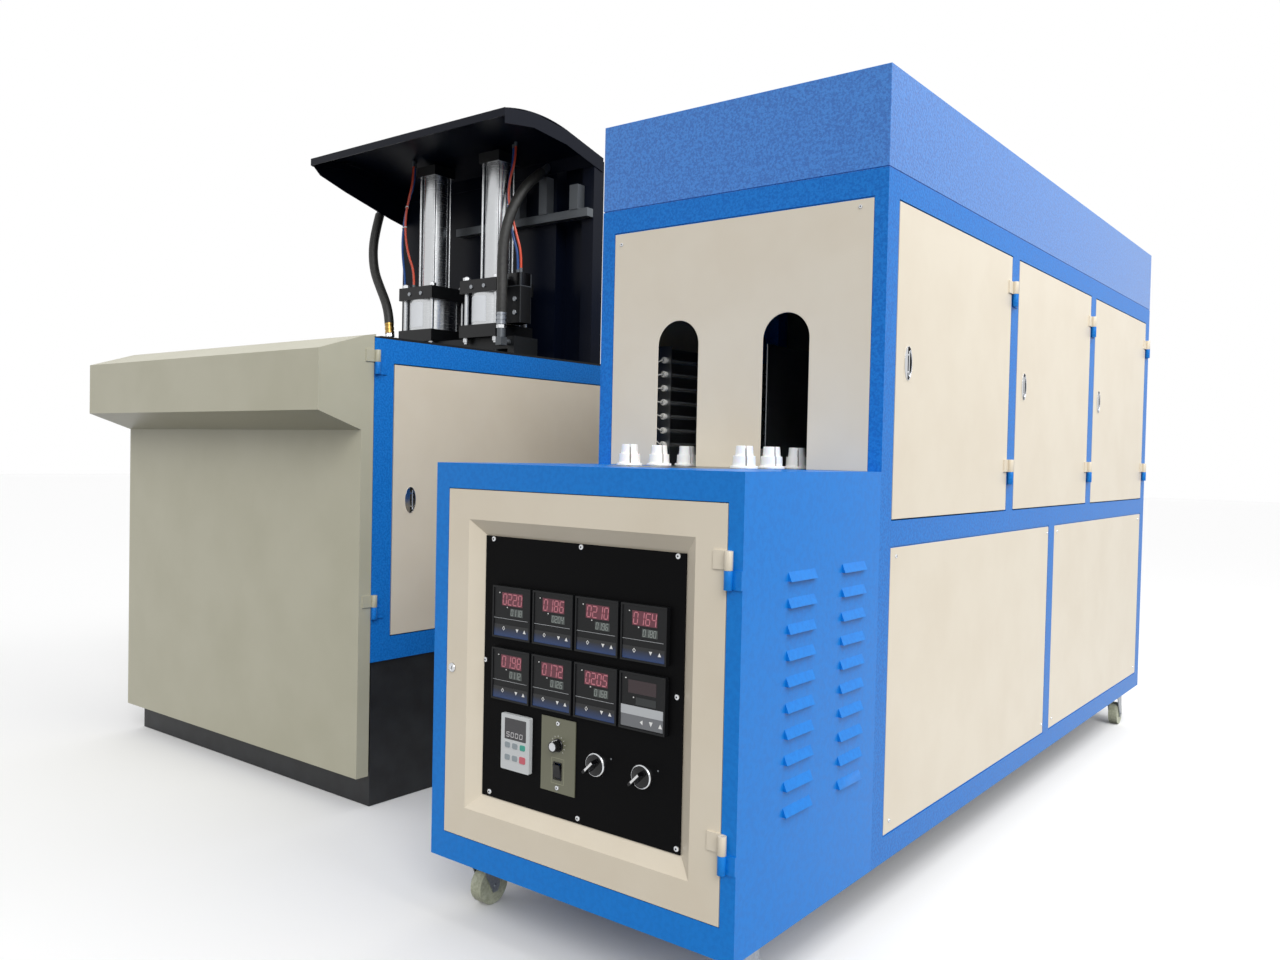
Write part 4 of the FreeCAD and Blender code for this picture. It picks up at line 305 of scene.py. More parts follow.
# Doors and panels: warm beige powder coat, eggshell gloss, fine orange peel.
FINISH["machine_beige"] = grain(mottle(new_finish("powder_coat_beige", "#d8cfbe", 0.42,
                                                  Coat_Weight=0.25, Coat_Roughness=0.2),
                                       "#d7ccb8", "#dbd1be", 180.0), 2.2, 0.05)
# Console: a greyer, darker beige than the doors, brushed on thicker, with faint clouds.
FINISH["console_grey"] = grain(mottle(new_finish("enamel_console_grey", "#b3b09c", 0.40),
                                      "#b0ad98", "#b6b39f", 220.0), 3.0, 0.06)
# Plinth: satin black chassis paint that has picked up some dust.
FINISH["black_paint"] = grain(mottle(new_finish("chassis_black", "#131417", 0.5),
                                     "#0e0f12", "#1d1f22", 60.0), 1.5, 0.06)
# Hood of the blow unit: navy enamel, half matt; it is darkened to near black as painted shade
# under its roof.
FINISH["navy_paint"] = grain(new_finish("navy_enamel_painted_shade", "#050a18", 0.34,
                                        Specular_IOR_Level=0.14), 9.0, 0.10)
# Instrument panel: fine-textured black stove enamel, almost no reflection.
FINISH["panel_black"] = grain(new_finish("panel_black_enamel", "#070708", 0.5,
                                         Specular_IOR_Level=0.05), 0.8, 0.03)
# Gear motor: satin grey machine paint.
FINISH["motor_grey"] = grain(new_finish("motor_grey_paint", "#5b6064", 0.42), 2.0, 0.08)
print(len(FINISH), "paints")

# %% [markdown]
# ## Metals
# Bare metal keeps the default index and is metallic. What differs from piece to piece is how the
# surface was made: chrome is mirror smooth, a honed barrel carries fine lines round it, rolled
# plate has a soft grain along its length and zinc has a crystalline spangle.

# %% Metals
# Chrome on ties, latches and rings: sharp, bright reflections.
FINISH["chrome"] = grain(new_finish("chrome_plate", "#cfd1d4", 0.10, 1.0), 40.0, 0.02)
# Ground barrels and nozzles: bright with lines that run round the axis.
FINISH["bright_steel"] = grain(new_finish("ground_steel", "#c8cacc", 0.24, 1.0), 3.0, 0.02,
                               stretch=(0.05, 0.05, 3.0), rough=(0.18, 0.32))
# Rolled stainless plate: satin, with its grain along the machine.
FINISH["plate_steel"] = grain(new_finish("rolled_stainless", "#9fa2a5", 0.36, 1.0), 2.0, 0.02,
                              stretch=(3.0, 0.05, 3.0), rough=(0.28, 0.46))
# Zinc plate on brackets and fittings: dull, slightly blue, with pale and dark crystals.
FINISH["zinc"] = grain(mottle(new_finish("zinc_plate", "#9a9ea3", 0.38, 1.0),
                              "#91959a", "#a3a7ac", 4.0), 4.0, 0.02, rough=(0.32, 0.44))
# Cylinder bridge: black chassis paint on a thick plate.
FINISH["bridge_dark"] = grain(new_finish("bridge_black", "#17191b", 0.4, Specular_IOR_Level=0.3),
                              3.0, 0.05)
# Valve rail, valves and standpipe: dull grey castings with a little oil on them.
FINISH["fitting_dull"] = grain(new_finish("dull_casting", "#606468", 0.42, 0.7), 2.5, 0.05)
# Milled mould blocks: bright aluminium with close cutter lines.
FINISH["mould_aluminium"] = grain(new_finish("milled_aluminium", "#c6c8ca", 0.28, 1.0), 1.6, 0.02,
                                  stretch=(0.06, 1.0, 1.0), rough=(0.22, 0.36))
# Cylinder caps: black anodised aluminium castings, machined flat, darkened further as painted
# shade under the hood.
FINISH["cap_dark"] = grain(new_finish("anodised_caps_painted_shade", "#111214", 0.40, 0.3), 1.2, 0.04,
                           rough=(0.28, 0.44))
# Brass crimp of the left hose.
FINISH["brass"] = grain(new_finish("brass_fitting", "#a98a4e", 0.30, 1.0), 6.0, 0.03)
print(len(FINISH), "finishes so far")

# %% [markdown]
# ## Plastics, rubber, glass and ceramic
# Moulded parts are dielectric: their colour is in the body, and only a white highlight lies on
# top. The holders are turned from white nylon, so light goes a little way into them.

# %% Plastics and the rest
# Holders: turned white nylon, soft edges to the shade.
FINISH["holder_white"] = grain(new_finish("white_nylon", "#f8f7f4", 0.42,
                                          Subsurface_Weight=0.12, Subsurface_Scale=0.004),
                               1.0, 0.03)
# Instrument cases: black ABS with a spark-eroded texture.
FINISH["instrument_black"] = grain(new_finish("black_abs", "#0d0e10", 0.46,
                                              Specular_IOR_Level=0.25), 0.7, 0.03)
# Keypad case: light grey ABS.
FINISH["keypad_grey"] = grain(new_finish("grey_abs", "#c9cccd", 0.45), 0.7, 0.03)
# Knobs: gloss black phenolic.
FINISH["knob_black"] = grain(new_finish("black_phenolic", "#08080a", 0.22,
                                        Specular_IOR_Level=0.35), 3.0, 0.02)
# Speed plate: olive grey enamel on thin aluminium.
FINISH["plate_olive"] = grain(new_finish("olive_enamel", "#6c6c5a", 0.42), 0.9, 0.03)
# Hose: black rubber cover with the cloth print of its wrap, dulled to olive.
FINISH["hose_rubber"] = grain(mottle(new_finish("wrapped_rubber", "#20201f", 0.52),
                                     "#191918", "#2b2b28", 9.0), 1.4, 0.12)
# Air tubes: polyurethane, glossy and saturated.
FINISH["tube_red"] = grain(new_finish("polyurethane_orange", "#d2492b", 0.28,
                                      Subsurface_Weight=0.08, Subsurface_Scale=0.002), 8.0, 0.03)
FINISH["tube_blue"] = grain(new_finish("polyurethane_blue", "#1d4f95", 0.28,
                                       Subsurface_Weight=0.08, Subsurface_Scale=0.002), 8.0, 0.03)
# Caster wheels: pale grey-green nylon with a scuffed tread.
FINISH["caster_nylon"] = grain(mottle(new_finish("grey_nylon", "#b4b7a0", 0.5),
                                      "#a4a78f", "#c0c3ad", 7.0), 2.0, 0.08)
# Lamp tubes: clear quartz, so the coil inside shows as a thin line.
FINISH["lamp_quartz"] = new_finish("quartz_glass", "#f4f6f7", 0.05, Transmission_Weight=0.9,
                                   IOR=1.46)
# Lamp ends: glazed white steatite.
FINISH["ceramic"] = grain(new_finish("white_steatite", "#e9e7e0", 0.35), 1.0, 0.03)
# Wiring sleeves: white silicone-glass braid.
FINISH["lead_white"] = grain(new_finish("glass_braid", "#e4e3dc", 0.6), 0.8, 0.08)
# Dark lining seen through the arches; in the screws' recesses and the lock's key slit the same
# near black is painted shade.
FINISH["lining"] = grain(new_finish("lining_and_recess_shade", "#101114", 0.55), 6.0, 0.10)
# Lamp coils: bare tungsten wire, cold and brownish grey.
FINISH["lamp_coil"] = grain(new_finish("tungsten_coil", "#5a5148", 0.5, 1.0), 1.0, 0.05)

# %% [markdown]
# ## Displays, marks and small things
# Digits glow on their meters. They could be lamps of their own, but a plain colour with a little
# emission is enough: they read under studio light and don't light what is round them. The other
# finishes here are print, acrylic, rubber and foil on small parts.

# %% Display colours
def glowing(name, colour, strength):
    """Lit segment: its own colour, seen as written."""
    material = new_finish(name, colour, 0.4, Emission_Strength=strength)
    material.node_tree.nodes["Principled BSDF"].inputs["Emission Color"].default_value = \
        linear(colour)
    return grain(material, 1.5, 0.01)


def fade(material, dark, light, low_mm, high_mm, pitch_mm):
    """Colour that fades upwards from light to dark, again for each row of meters."""
    tree = material.node_tree
    where = add(tree, "ShaderNodeTexCoord")
    split = add(tree, "ShaderNodeSeparateXYZ", {"Vector": where.outputs["Object"]})
    rise = add(tree, "ShaderNodeMath", {0: split.outputs["Z"], 1: low_mm * MM},
               operation="SUBTRACT")
    row = add(tree, "ShaderNodeMath", {0: rise.outputs[0], 1: pitch_mm * MM}, operation="MODULO")
    share = add(tree, "ShaderNodeMapRange", {"Value": row.outputs[0],
                "From Max": (high_mm - low_mm) * MM})
    ramp = add(tree, "ShaderNodeValToRGB", {"Fac": share.outputs["Result"]})
    ramp.color_ramp.elements[0].color = linear(light)
    ramp.color_ramp.elements[1].color = linear(dark)
    tree.links.new(ramp.outputs["Color"], tree.nodes["Principled BSDF"].inputs["Base Color"])
    return material


# Lit windows: tinted acrylic, milky from the light behind it.
FINISH["window_wine"] = grain(new_finish("wine_acrylic", "#6c3c47", 0.3,
                                         Specular_IOR_Level=0.3), 9.0, 0.01)
FINISH["window_green"] = grain(new_finish("grey_green_acrylic", "#4b504e", 0.3,
                                          Specular_IOR_Level=0.3), 9.0, 0.01)
# Windows with no light behind them: the same acrylic, darker, and it reflects more.
FINISH["window_dark"] = grain(new_finish("smoked_acrylic", "#141a1c", 0.18), 9.0, 0.01)
FINISH["window_wine_dark"] = grain(new_finish("wine_acrylic_off", "#2a151b", 0.18), 9.0, 0.01)
FINISH["window_smoked"] = grain(new_finish("smoked_display", "#3a393c", 0.16), 9.0, 0.01)
# Digits: light-emitting bars, paled by the daylight on their window.
FINISH["digit_red"] = glowing("led_red", "#b56f7a", 0.15)
FINISH["digit_green"] = glowing("led_green", "#8e9591", 0.1)
FINISH["digit_pale"] = glowing("display_pale", "#c9c7c9", 0.15)
# Screen print: matt ink, a few hundredths of a millimetre thick.
FINISH["mark_white"] = grain(new_finish("white_print", "#e8e8e6", 0.5), 1.5, 0.01)
FINISH["mark_olive"] = grain(new_finish("olive_print", "#a8a890", 0.5), 1.5, 0.01)
FINISH["mark_grey"] = grain(new_finish("grey_print", "#6f7376", 0.5), 1.5, 0.01)
FINISH["band_silver"] = grain(new_finish("silver_print", "#b7babd", 0.4), 1.5, 0.01)
FINISH["band_grey"] = grain(new_finish("grey_band", "#6d6f73", 0.4), 1.5, 0.01)
# Key band of a meter: blue ink at its foot that is black 17 mm higher, once for each row.
BAND_FOOT_MM, BAND_BLACK_MM, METER_ROW_STEP_MM = 453.4, 470.0, 115.0
FINISH["band_blue"] = fade(grain(new_finish("blue_print", "#1d3560", 0.42), 1.5, 0.01),
                           "#0b0d10", "#1a3767", BAND_FOOT_MM, BAND_BLACK_MM,
                           METER_ROW_STEP_MM)
# Keys: moulded silicone rubber, soft and dull.
FINISH["key_grey"] = grain(new_finish("grey_key", "#8e979c", 0.5), 1.0, 0.02)
FINISH["key_green"] = grain(new_finish("green_key", "#3f9c8a", 0.5), 1.0, 0.02)
FINISH["key_red"] = grain(new_finish("red_key", "#c4606c", 0.5), 1.0, 0.02)
# Inlay of a selector's grip: white acrylic, smoother than print.
FINISH["inlay_bright"] = grain(new_finish("white_inlay", "#e9e9ea", 0.35), 1.5, 0.01)
# Bottom of a latch's cup: bare zinc, darkened as painted shade in the cup.
FINISH["cup_dark"] = grain(new_finish("cup_shadow_zinc", "#3a3833", 0.4, 0.8), 3.0, 0.03)
# Core seen through a holder's saw cuts: the same nylon, greyed as painted shade in the cuts.
FINISH["holder_core_shade"] = grain(new_finish("nylon_core_painted_shade", "#b9b7b2", 0.5), 1.0, 0.03)
# Label: aluminium foil under a clear film, half metal and half paint to the eye.
FINISH["label_foil"] = grain(new_finish("label_foil", "#dfe2e6", 0.34, 0.35), 5.0, 0.01)
# Ties round the air tubes: natural nylon.
FINISH["tie_white"] = grain(new_finish("nylon_tie", "#e4e5e3", 0.45), 1.0, 0.02)
print(len(FINISH), "finishes")

# %% [markdown]
# ## Dressing the solids
# Each solid names the finish that it takes in the record. A few differ in how they were made,
# and are named here. A short chain of modifiers then gives the sheet metal its soft edges: the
# solids keep their meshes, and the modifiers weld, clean and round only what is drawn.

# %% Assign the finishes
OWN_FINISH = {"oven_hood": "hood_blue", "control_box": "box_blue",
              "cylinder_bridge": "bridge_dark", "air_fittings": "fitting_dull"}
SLOT_OF = {part["node"]: part["material_slot"] for part in frame["record"]["subparts"]}
for node, solid in NODES.items():
    finish = FINISH[OWN_FINISH.get(node, SLOT_OF[node])]
    if not solid.material_slots:
        solid.data.materials.append(finish)
    for slot in solid.material_slots:
        slot.material = finish
SHEET_METAL = ("oven_frame", "oven_hood", "control_box", "console_door", "fixed_panels",
               "side_door_1", "side_door_2", "side_door_3", "blow_side_door", "blow_frame",
               "control_door", "blow_plinth", "oven_front_panel")
FOLD_MM = 1.6
SHARP_ANGLE = math.radians(35)


def soft_sheet(solid, edge_mm):
    """Fold radius on sheet metal: flats become single faces, then their edges are rounded."""
    weld = solid.modifiers.new("weld", "WELD")
    weld.merge_threshold = 0.01 * MM
    flats = solid.modifiers.new("flats", "DECIMATE")
    flats.decimate_type = "DISSOLVE"
    flats.angle_limit = math.radians(1)
    fold = solid.modifiers.new("fold", "BEVEL")
    fold.width = edge_mm * MM
    fold.segments = 2
    fold.limit_method = "ANGLE"
    fold.angle_limit = SHARP_ANGLE
    fold.harden_normals = True


for node in SHEET_METAL:
    soft_sheet(NODES[node], FOLD_MM)
for name, cord in CORDS.items():
    cord.data.materials.append(FINISH[SLOT_OF[name]])
print("finishes on", len(NODES), "solids")

# %% [markdown]
# ## Small forms
# Digits, keys, screws and lamp ends are too small and too many to sculpt one by one. A small
# class collects them: each form is a block, an outline pushed along a vector, a ring between two
# outlines, or a profile turned round an axis. One bevel modifier then softens all of a piece's
# edges by the same small radius, as moulding or deburring does.

# %% A mesh that grows form by form
class Piece:
    """Small forms of one thing in one mesh; each face keeps its own finish."""

    def __init__(self):
        self.points, self.faces, self.kinds, self.finishes = [], [], [], []

    def form(self, finish, points, faces):
        """Add points, and the faces between them."""
        if finish not in self.finishes:
            self.finishes.append(finish)
        first = len(self.points)
        self.points.extend(Vector(point) for point in points)
        self.faces.extend([first + corner for corner in face] for face in faces)
        self.kinds.extend([self.finishes.index(finish)] * len(faces))

    def slab(self, finish, low, high):
        """Block between its lowest and highest corners."""
        points = [(x, y, z) for x in (low[0], high[0]) for y in (low[1], high[1])
                  for z in (low[2], high[2])]
        self.form(finish, points, ((0, 1, 3, 2), (4, 6, 7, 5), (0, 4, 5, 1),
                                   (2, 3, 7, 6), (0, 2, 6, 4), (1, 5, 7, 3)))

    def taper(self, finish, low, high):
        """Closed form between two outlines of as many points."""
        count = len(low)
        walls = [(i, (i + 1) % count, count + (i + 1) % count, count + i) for i in range(count)]
        self.form(finish, low + high,
                  [tuple(reversed(range(count))), tuple(range(count, 2 * count))] + walls)

    def prism(self, finish, outline, travel):
        """Outline pushed along a vector."""
        low = [Vector(point) for point in outline]
        self.taper(finish, low, [point + travel for point in low])

    def ring(self, finish, outer, inner, travel):
        """Flat ring between two outlines of as many points, pushed along a vector."""
        count = len(outer)
        points = [Vector(p) for p in outer] + [Vector(p) for p in inner]
        points += [p + travel for p in points]
        faces = []
        for i in range(count):
            j = (i + 1) % count
            faces += [(i, count + i, count + j, j),
                      (2 * count + i, 2 * count + j, 3 * count + j, 3 * count + i),
                      (i, j, 2 * count + j, 2 * count + i),
                      (count + i, 3 * count + i, 3 * count + j, count + j)]
        self.form(finish, points, faces)

    def turned(self, finish, centre, axis, profile, steps=32, closed=False):
        """Profile of (radius, height) pairs turned round an axis."""
        axis = Vector(axis).normalized()
        side = axis.orthogonal().normalized()
        other = axis.cross(side)
        points, rings = [], []
        for radius, height in profile:
            count = steps if radius > 0 else 1
            rings.append(range(len(points), len(points) + count))
            for i in range(count):
                angle = 2 * math.pi * i / steps
                spoke = side * math.cos(angle) + other * math.sin(angle)
                points.append(Vector(centre) + axis * height + spoke * radius)
        if closed:
            rings.append(rings[0])
        faces = []
        for low, high in zip(rings, rings[1:]):
            for i in range(steps):
                j = i + 1
                corners = (low[i % len(low)], low[j % len(low)],
                           high[j % len(high)], high[i % len(high)])
                faces.append(tuple(dict.fromkeys(corners)))
        self.form(finish, points, [face for face in faces if len(face) > 2])

    def place(self, name, body, slot, edge=0.25, replaces=()):
        """Make the mesh, soften its edges and let it ride on a body."""
        mesh = bpy.data.meshes.new(name)
        mesh.from_pydata([tuple(point) for point in self.points], [], self.faces)
        for finish in self.finishes:
            mesh.materials.append(FINISH[finish])
        mesh.polygons.foreach_set("material_index", self.kinds)
        shape = bmesh.new()
        shape.from_mesh(mesh)
        bmesh.ops.dissolve_degenerate(shape, dist=1e-7, edges=shape.edges)
        bmesh.ops.recalc_face_normals(shape, faces=shape.faces)
        shape.to_mesh(mesh)
        shape.free()
        mesh.shade_smooth()
        mesh.set_sharp_from_angle(angle=SHARP_ANGLE)
        piece = put_in_scene(name, mesh)
        if edge:
            soften(piece, edge)
        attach(piece, body)
        if replaces:
            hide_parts(*replaces)
        return piece


def soften(thing, edge_mm):
    """Round the edges of what is drawn, leaving the mesh as it is."""
    bevel = thing.modifiers.new("soft_edges", "BEVEL")
    bevel.width = edge_mm * MM
    bevel.segments = 2
    bevel.limit_method = "ANGLE"
    bevel.angle_limit = math.radians(40)
    bevel.harden_normals = True


def millimetres(spots):
    """Pairs of distances, turned from millimetres to metres."""
    return [(a * MM, b * MM) for a, b in spots]


def pin(radius, length):
    """Profile of a plain round pin, given in millimetres."""
    return millimetres([(0, 0), (radius, 0), (radius, length), (0, length)])


def across(centre, first, second, spots):
    """Points from pairs of distances along two directions."""
    return [Vector(centre) + Vector(first) * a + Vector(second) * b for a, b in spots]


def rounded(width, height, radius, steps=5):
    """Outline of a rectangle with rounded corners, as pairs of distances."""
    spots = []
    for turn, (sx, sy) in enumerate(((1, 1), (-1, 1), (-1, -1), (1, -1))):
        for i in range(steps + 1):
            angle = math.pi / 2 * (turn + i / steps)
            spots.append((sx * (width / 2 - radius) + radius * math.cos(angle),
                          sy * (height / 2 - radius) + radius * math.sin(angle)))
    return spots


def oval(half_width, half_height, steps=48):
    """Outline of an ellipse, as pairs of distances."""
    return [(half_width * math.cos(2 * math.pi * i / steps),
             half_height * math.sin(2 * math.pi * i / steps)) for i in range(steps)]


RIGHT, BACK, UP = Vector((1, 0, 0)), Vector((0, 1, 0)), Vector((0, 0, 1))
print("forms ready")

# %% [markdown]
# ## Screws
# Cross-head pan screws hold the panels: a low bright dome with a recess in its middle, drawn as a
# dark disc of painted shade.

# %% Screws
def pan_screw(piece, centre, axis, radius_mm=5.0):
    """Low domed head with its recess, standing on a face."""
    r = radius_mm * MM
    head = [(0, 0), (r, 0), (r, r * 0.18), (r * 0.86, r * 0.42), (r * 0.5, r * 0.56),
            (r * 0.34, r * 0.56), (r * 0.30, r * 0.34), (0, r * 0.34)]
    piece.turned("chrome", centre, axis, head, steps=20)
    # The recess is a dark disc of painted shade.
    slot = [(0, 0), (r * 0.28, 0), (r * 0.28, r * 0.1), (0, r * 0.1)]
    piece.turned("lining", Vector(centre) + Vector(axis) * r * 0.34, axis, slot, steps=8)


def on_panel(sideways, height, out=0.0):
    """Point on the instrument panel, in millimetres from its middle line, the floor, its face."""
    return Vector((PANEL_X + sideways * MM, PANEL_FACE - out * MM, height * MM))


def panel_height(low=0.0, high=None):
    """Height in millimetres above the panel's bottom, or below its top."""
    return PANEL_HIGH.z / MM - high if high is not None else PANEL_LOW.z / MM + low


screws = Piece()
for sideways, height in ((-209, panel_height(high=5.5)), (7, panel_height(high=5.5)),
                         (215, panel_height(high=5.5)), (-225.5, 517), (218.5, 517),
                         (-209, panel_height(9.5)), (11, panel_height(9.5)),
                         (224, panel_height(9.5))):
    pan_screw(screws, on_panel(sideways, height), -BACK, 5.2)
screws.place("panel_screws", "control_door", "chrome", edge=0)
print("8 screws hold the instrument panel")

# %% [markdown]
# ## Digits
# Every display uses the same digit: seven bars of light that lean a little to the right. Each
# bar is a thin raised block, so the digits need no font.

# %% Seven-bar digits
BARS = {"top": (0, 2, 1, 2), "high_right": (1, 1, 1, 2), "low_right": (1, 0, 1, 1),
        "bottom": (0, 0, 1, 0), "low_left": (0, 0, 0, 1), "high_left": (0, 1, 0, 2),
        "middle": (0, 1, 1, 1)}
DARK_BARS = {"0": ["middle"],
             "1": ["top", "high_left", "middle", "low_left", "bottom"],
             "2": ["high_left", "low_right"], "3": ["high_left", "low_left"],
             "4": ["top", "low_left", "bottom"], "5": ["high_right", "low_left"],
             "6": ["high_right"], "7": ["high_left", "middle", "low_left", "bottom"],
             "8": [], "9": ["low_left"]}


def write_number(piece, finish, number, corner, step, size, stroke):
    """Digits from a lower left corner on the panel; sizes in millimetres."""
    wide, tall = size
    for place, digit in enumerate(number):
        left = corner + RIGHT * step * place * MM
        for bar, (x0, z0, x1, z1) in BARS.items():
            if bar in DARK_BARS[digit]:
                continue
            low = (min(x0, x1) * wide - stroke / 2, min(z0, z1) * tall / 2 - stroke / 2)
            high = (max(x0, x1) * wide + stroke / 2, max(z0, z1) * tall / 2 + stroke / 2)
            lean = 0.10
            outline = [(low[0] + lean * low[1], low[1]), (high[0] + lean * low[1], low[1]),
                       (high[0] + lean * high[1], high[1]), (low[0] + lean * high[1], high[1])]
            outline = [(a * MM, b * MM) for a, b in outline]
            piece.prism(finish, across(left, RIGHT, UP, outline), -BACK * 0.15 * MM)


# %% [markdown]
# ## The eight meters
# Seven voltage regulators and one temperature meter stand in two rows. Each is a 96 mm square
# ABS frame round a flat printed face: a wine red window with four large digits, four small
# green ones below it, a hair line, and a blue band that fades up into black, with its keys.

# %% Meter faces
METER = 96.0
METER_PITCH = 102.0
METER_ROWS = (613.0, 498.0)
METER_OUT = (PANEL_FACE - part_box("panel_meters")[0].y) / MM


def face_point(meter, u, v, out=0.0):
    """Point on a meter's face, as shares of its width and height from the top left."""
    column, row = meter
    return on_panel((column - 1.5) * METER_PITCH + (u - 0.5) * METER,
                    METER_ROWS[row] + (0.5 - v) * METER, METER_OUT + out)


def face_block(piece, finish, meter, u0, v0, u1, v1, out=0.3):
    """Flat block on a meter's face between two corners."""
    low = face_point(meter, u0, v1, out)
    high = face_point(meter, u1, v0)
    piece.slab(finish, low, high)


def face_mark(piece, finish, meter, spots, out=0.55):
    """Flat mark on a meter's face from shares of its size."""
    piece.prism(finish, [face_point(meter, u, v) for u, v in spots], -BACK * out * MM)


def meter_frame(piece, meter):
    """Raised rim round the face."""
    corners = ((0, 0), (1, 0), (1, 1), (0, 1))
    outer = [face_point(meter, u, v) for u, v in corners]
    inner = [face_point(meter, 0.035 + 0.93 * u, 0.035 + 0.93 * v) for u, v in corners]
    piece.ring("instrument_black", outer, inner, -BACK * 1.6 * MM)


def regulator(piece, meter, large, small):
    """Face of a voltage regulator with its readings."""
    face_block(piece, "window_wine", meter, .245, .118, .787, .37)
    face_block(piece, "window_green", meter, .465, .415, .80, .56, out=0.1)
    write_number(piece, "digit_red", large, face_point(meter, .272, .345, .3), 12.7, (8.2, 19.0),
                 1.9)
    write_number(piece, "digit_green", small, face_point(meter, .485, .545, .1), 7.2, (4.6, 11.0),
                 1.1)
    face_mark(piece, "mark_white", meter, ((.17, .12), (.19, .12), (.19, .14), (.17, .14)))
    face_mark(piece, "mark_white", meter, ((.38, .39), (.40, .39), (.40, .41), (.38, .41)))
    face_block(piece, "band_silver", meter, .035, .617, .93, .623)
    face_block(piece, "band_blue", meter, .035, .74, .965, .965, out=0.2)
    face_mark(piece, "mark_white", meter, ((.625, .79), (.695, .79), (.66, .855)))
    face_mark(piece, "mark_white", meter, ((.815, .855), (.85, .79), (.885, .855)))
    diamond = [(.30 + .035 * a, .81 + .042 * b) for a, b in ((0, -1), (1, 0), (0, 1), (-1, 0))]
    hole = [(.30 + .023 * a, .81 + .028 * b) for a, b in ((0, -1), (1, 0), (0, 1), (-1, 0))]
    piece.ring("mark_white", [face_point(meter, u, v) for u, v in diamond],
               [face_point(meter, u, v) for u, v in hole], -BACK * 0.5 * MM)


def thermometer(piece, meter):
    """Face of the temperature meter, switched off, over its silver key band."""
    face_block(piece, "window_wine_dark", meter, .19, .13, .80, .36)
    face_block(piece, "window_dark", meter, .36, .42, .80, .55)
    face_mark(piece, "mark_white", meter, ((.12, .10), (.145, .10), (.145, .12), (.12, .12)))
    face_mark(piece, "mark_white", meter, ((.30, .42), (.32, .42), (.32, .44), (.30, .44)))
    face_block(piece, "band_silver", meter, .035, .58, .965, .735, out=0.5)
    face_block(piece, "band_grey", meter, .035, .735, .965, .95, out=0.4)
    face_mark(piece, "mark_white", meter, ((.46, .84), (.52, .80), (.52, .88)), out=0.7)
    face_mark(piece, "mark_white", meter, ((.66, .80), (.74, .80), (.70, .88)), out=0.7)
    face_mark(piece, "mark_white", meter, ((.86, .88), (.90, .80), (.94, .88)), out=0.7)


READINGS = (("0220", "0118"), ("0186", "0204"), ("0210", "0196"), ("0164", "0180"),
            ("0198", "0112"), ("0172", "0126"), ("0205", "0168"))
meters = Piece()
for number in range(8):
    meter = (number % 4, number // 4)
    meter_frame(meters, meter)
    if number < 7:
        regulator(meters, meter, *READINGS[number])
    else:
        thermometer(meters, meter)
meters.place("meter_faces", "control_door", "instrument_black", edge=0)
print("8 meter faces with", len(meters.faces), "faces")

# %% [markdown]
# ## Keypad of the motor drive
# A light grey ABS case stands 8 mm out of the panel. Its dark display has four digits along the
# bottom, and two rows of three rubber keys lie below.

# %% Keypad
KEYPAD_AT = (-138.0, 375.5)
KEYPAD_SIZE = (72.0, 103.0)
KEYPAD_OUT = 8.0
WINDOW_OUT = 0.3


def keypad_spot(u, v):
    """Sideways place and height of a share of the keypad's face."""
    return (KEYPAD_AT[0] + (u - 0.5) * KEYPAD_SIZE[0], KEYPAD_AT[1] + (0.5 - v) * KEYPAD_SIZE[1])


keypad = Piece()
case = millimetres(rounded(*KEYPAD_SIZE, 3.0))
keypad.prism("keypad_grey", across(on_panel(*KEYPAD_AT), RIGHT, UP, case), -BACK * KEYPAD_OUT * MM)
keypad.slab("instrument_black", on_panel(KEYPAD_AT[0] - 27, KEYPAD_AT[1] - 35, 0.0),
            on_panel(KEYPAD_AT[0] + 27, KEYPAD_AT[1] + 35, -14.0))
window = millimetres(rounded(54.0, 39.0, 1.5))
window_at = on_panel(*keypad_spot(.505, .26), KEYPAD_OUT)
keypad.prism("window_smoked", across(window_at, RIGHT, UP, window), -BACK * WINDOW_OUT * MM)
write_number(keypad, "digit_pale", "5000",
             on_panel(*keypad_spot(.20, .40), KEYPAD_OUT + WINDOW_OUT), 11.0, (6.4, 8.0), 1.1)
KEYS = (("key_grey", .24, .55), ("key_grey", .50, .55), ("key_green", .77, .55),
        ("key_grey", .24, .77), ("key_grey", .50, .77), ("key_red", .77, .77))
for finish, u, v in KEYS:
    size = (14.5, 12.5) if finish == "key_red" else (12.5, 10.0)
    key = millimetres(rounded(*size, 2.4))
    keypad.prism(finish, across(on_panel(*keypad_spot(u, v), KEYPAD_OUT), RIGHT, UP, key),
                 -BACK * 1.1 * MM)
keypad.place("drive_keypad", "control_door", "keypad_grey", edge=0.35,
             replaces=["panel_fittings"])
print(len(KEYS), "keys")

# %% [markdown]
# ## Speed plate
# An olive enamelled plate carries the chain's speed knob over a mains rocker switch. Two screws
# hold it, white ticks mark the knob's range and a thin line frames the switch.

# %% Speed plate
PLATE_AT = (-37.5, 371.5)
PLATE_SIZE = (81.0, 133.0)
PLATE_OUT = 2.0
PRINT_OUT = 0.12
TICKS = 11
knob_middle = centre_of("speed_knob")
KNOB_AT = (PLATE_AT[0], knob_middle.z / MM)
ROCKER_AT = (PLATE_AT[0], centre_of("power_rocker").z / MM)
CORNERS = ((-1, -1), (1, -1), (1, 1), (-1, 1))


def rim_on_plate(piece, finish, outside, inside, out):
    """Flat rim round the rocker between two rounded outlines, given as width, height, radius."""
    edges = [across(on_panel(*ROCKER_AT, PLATE_OUT), RIGHT, UP, millimetres(rounded(*edge)))
             for edge in (outside, inside)]
    piece.ring(finish, *edges, -BACK * out * MM)


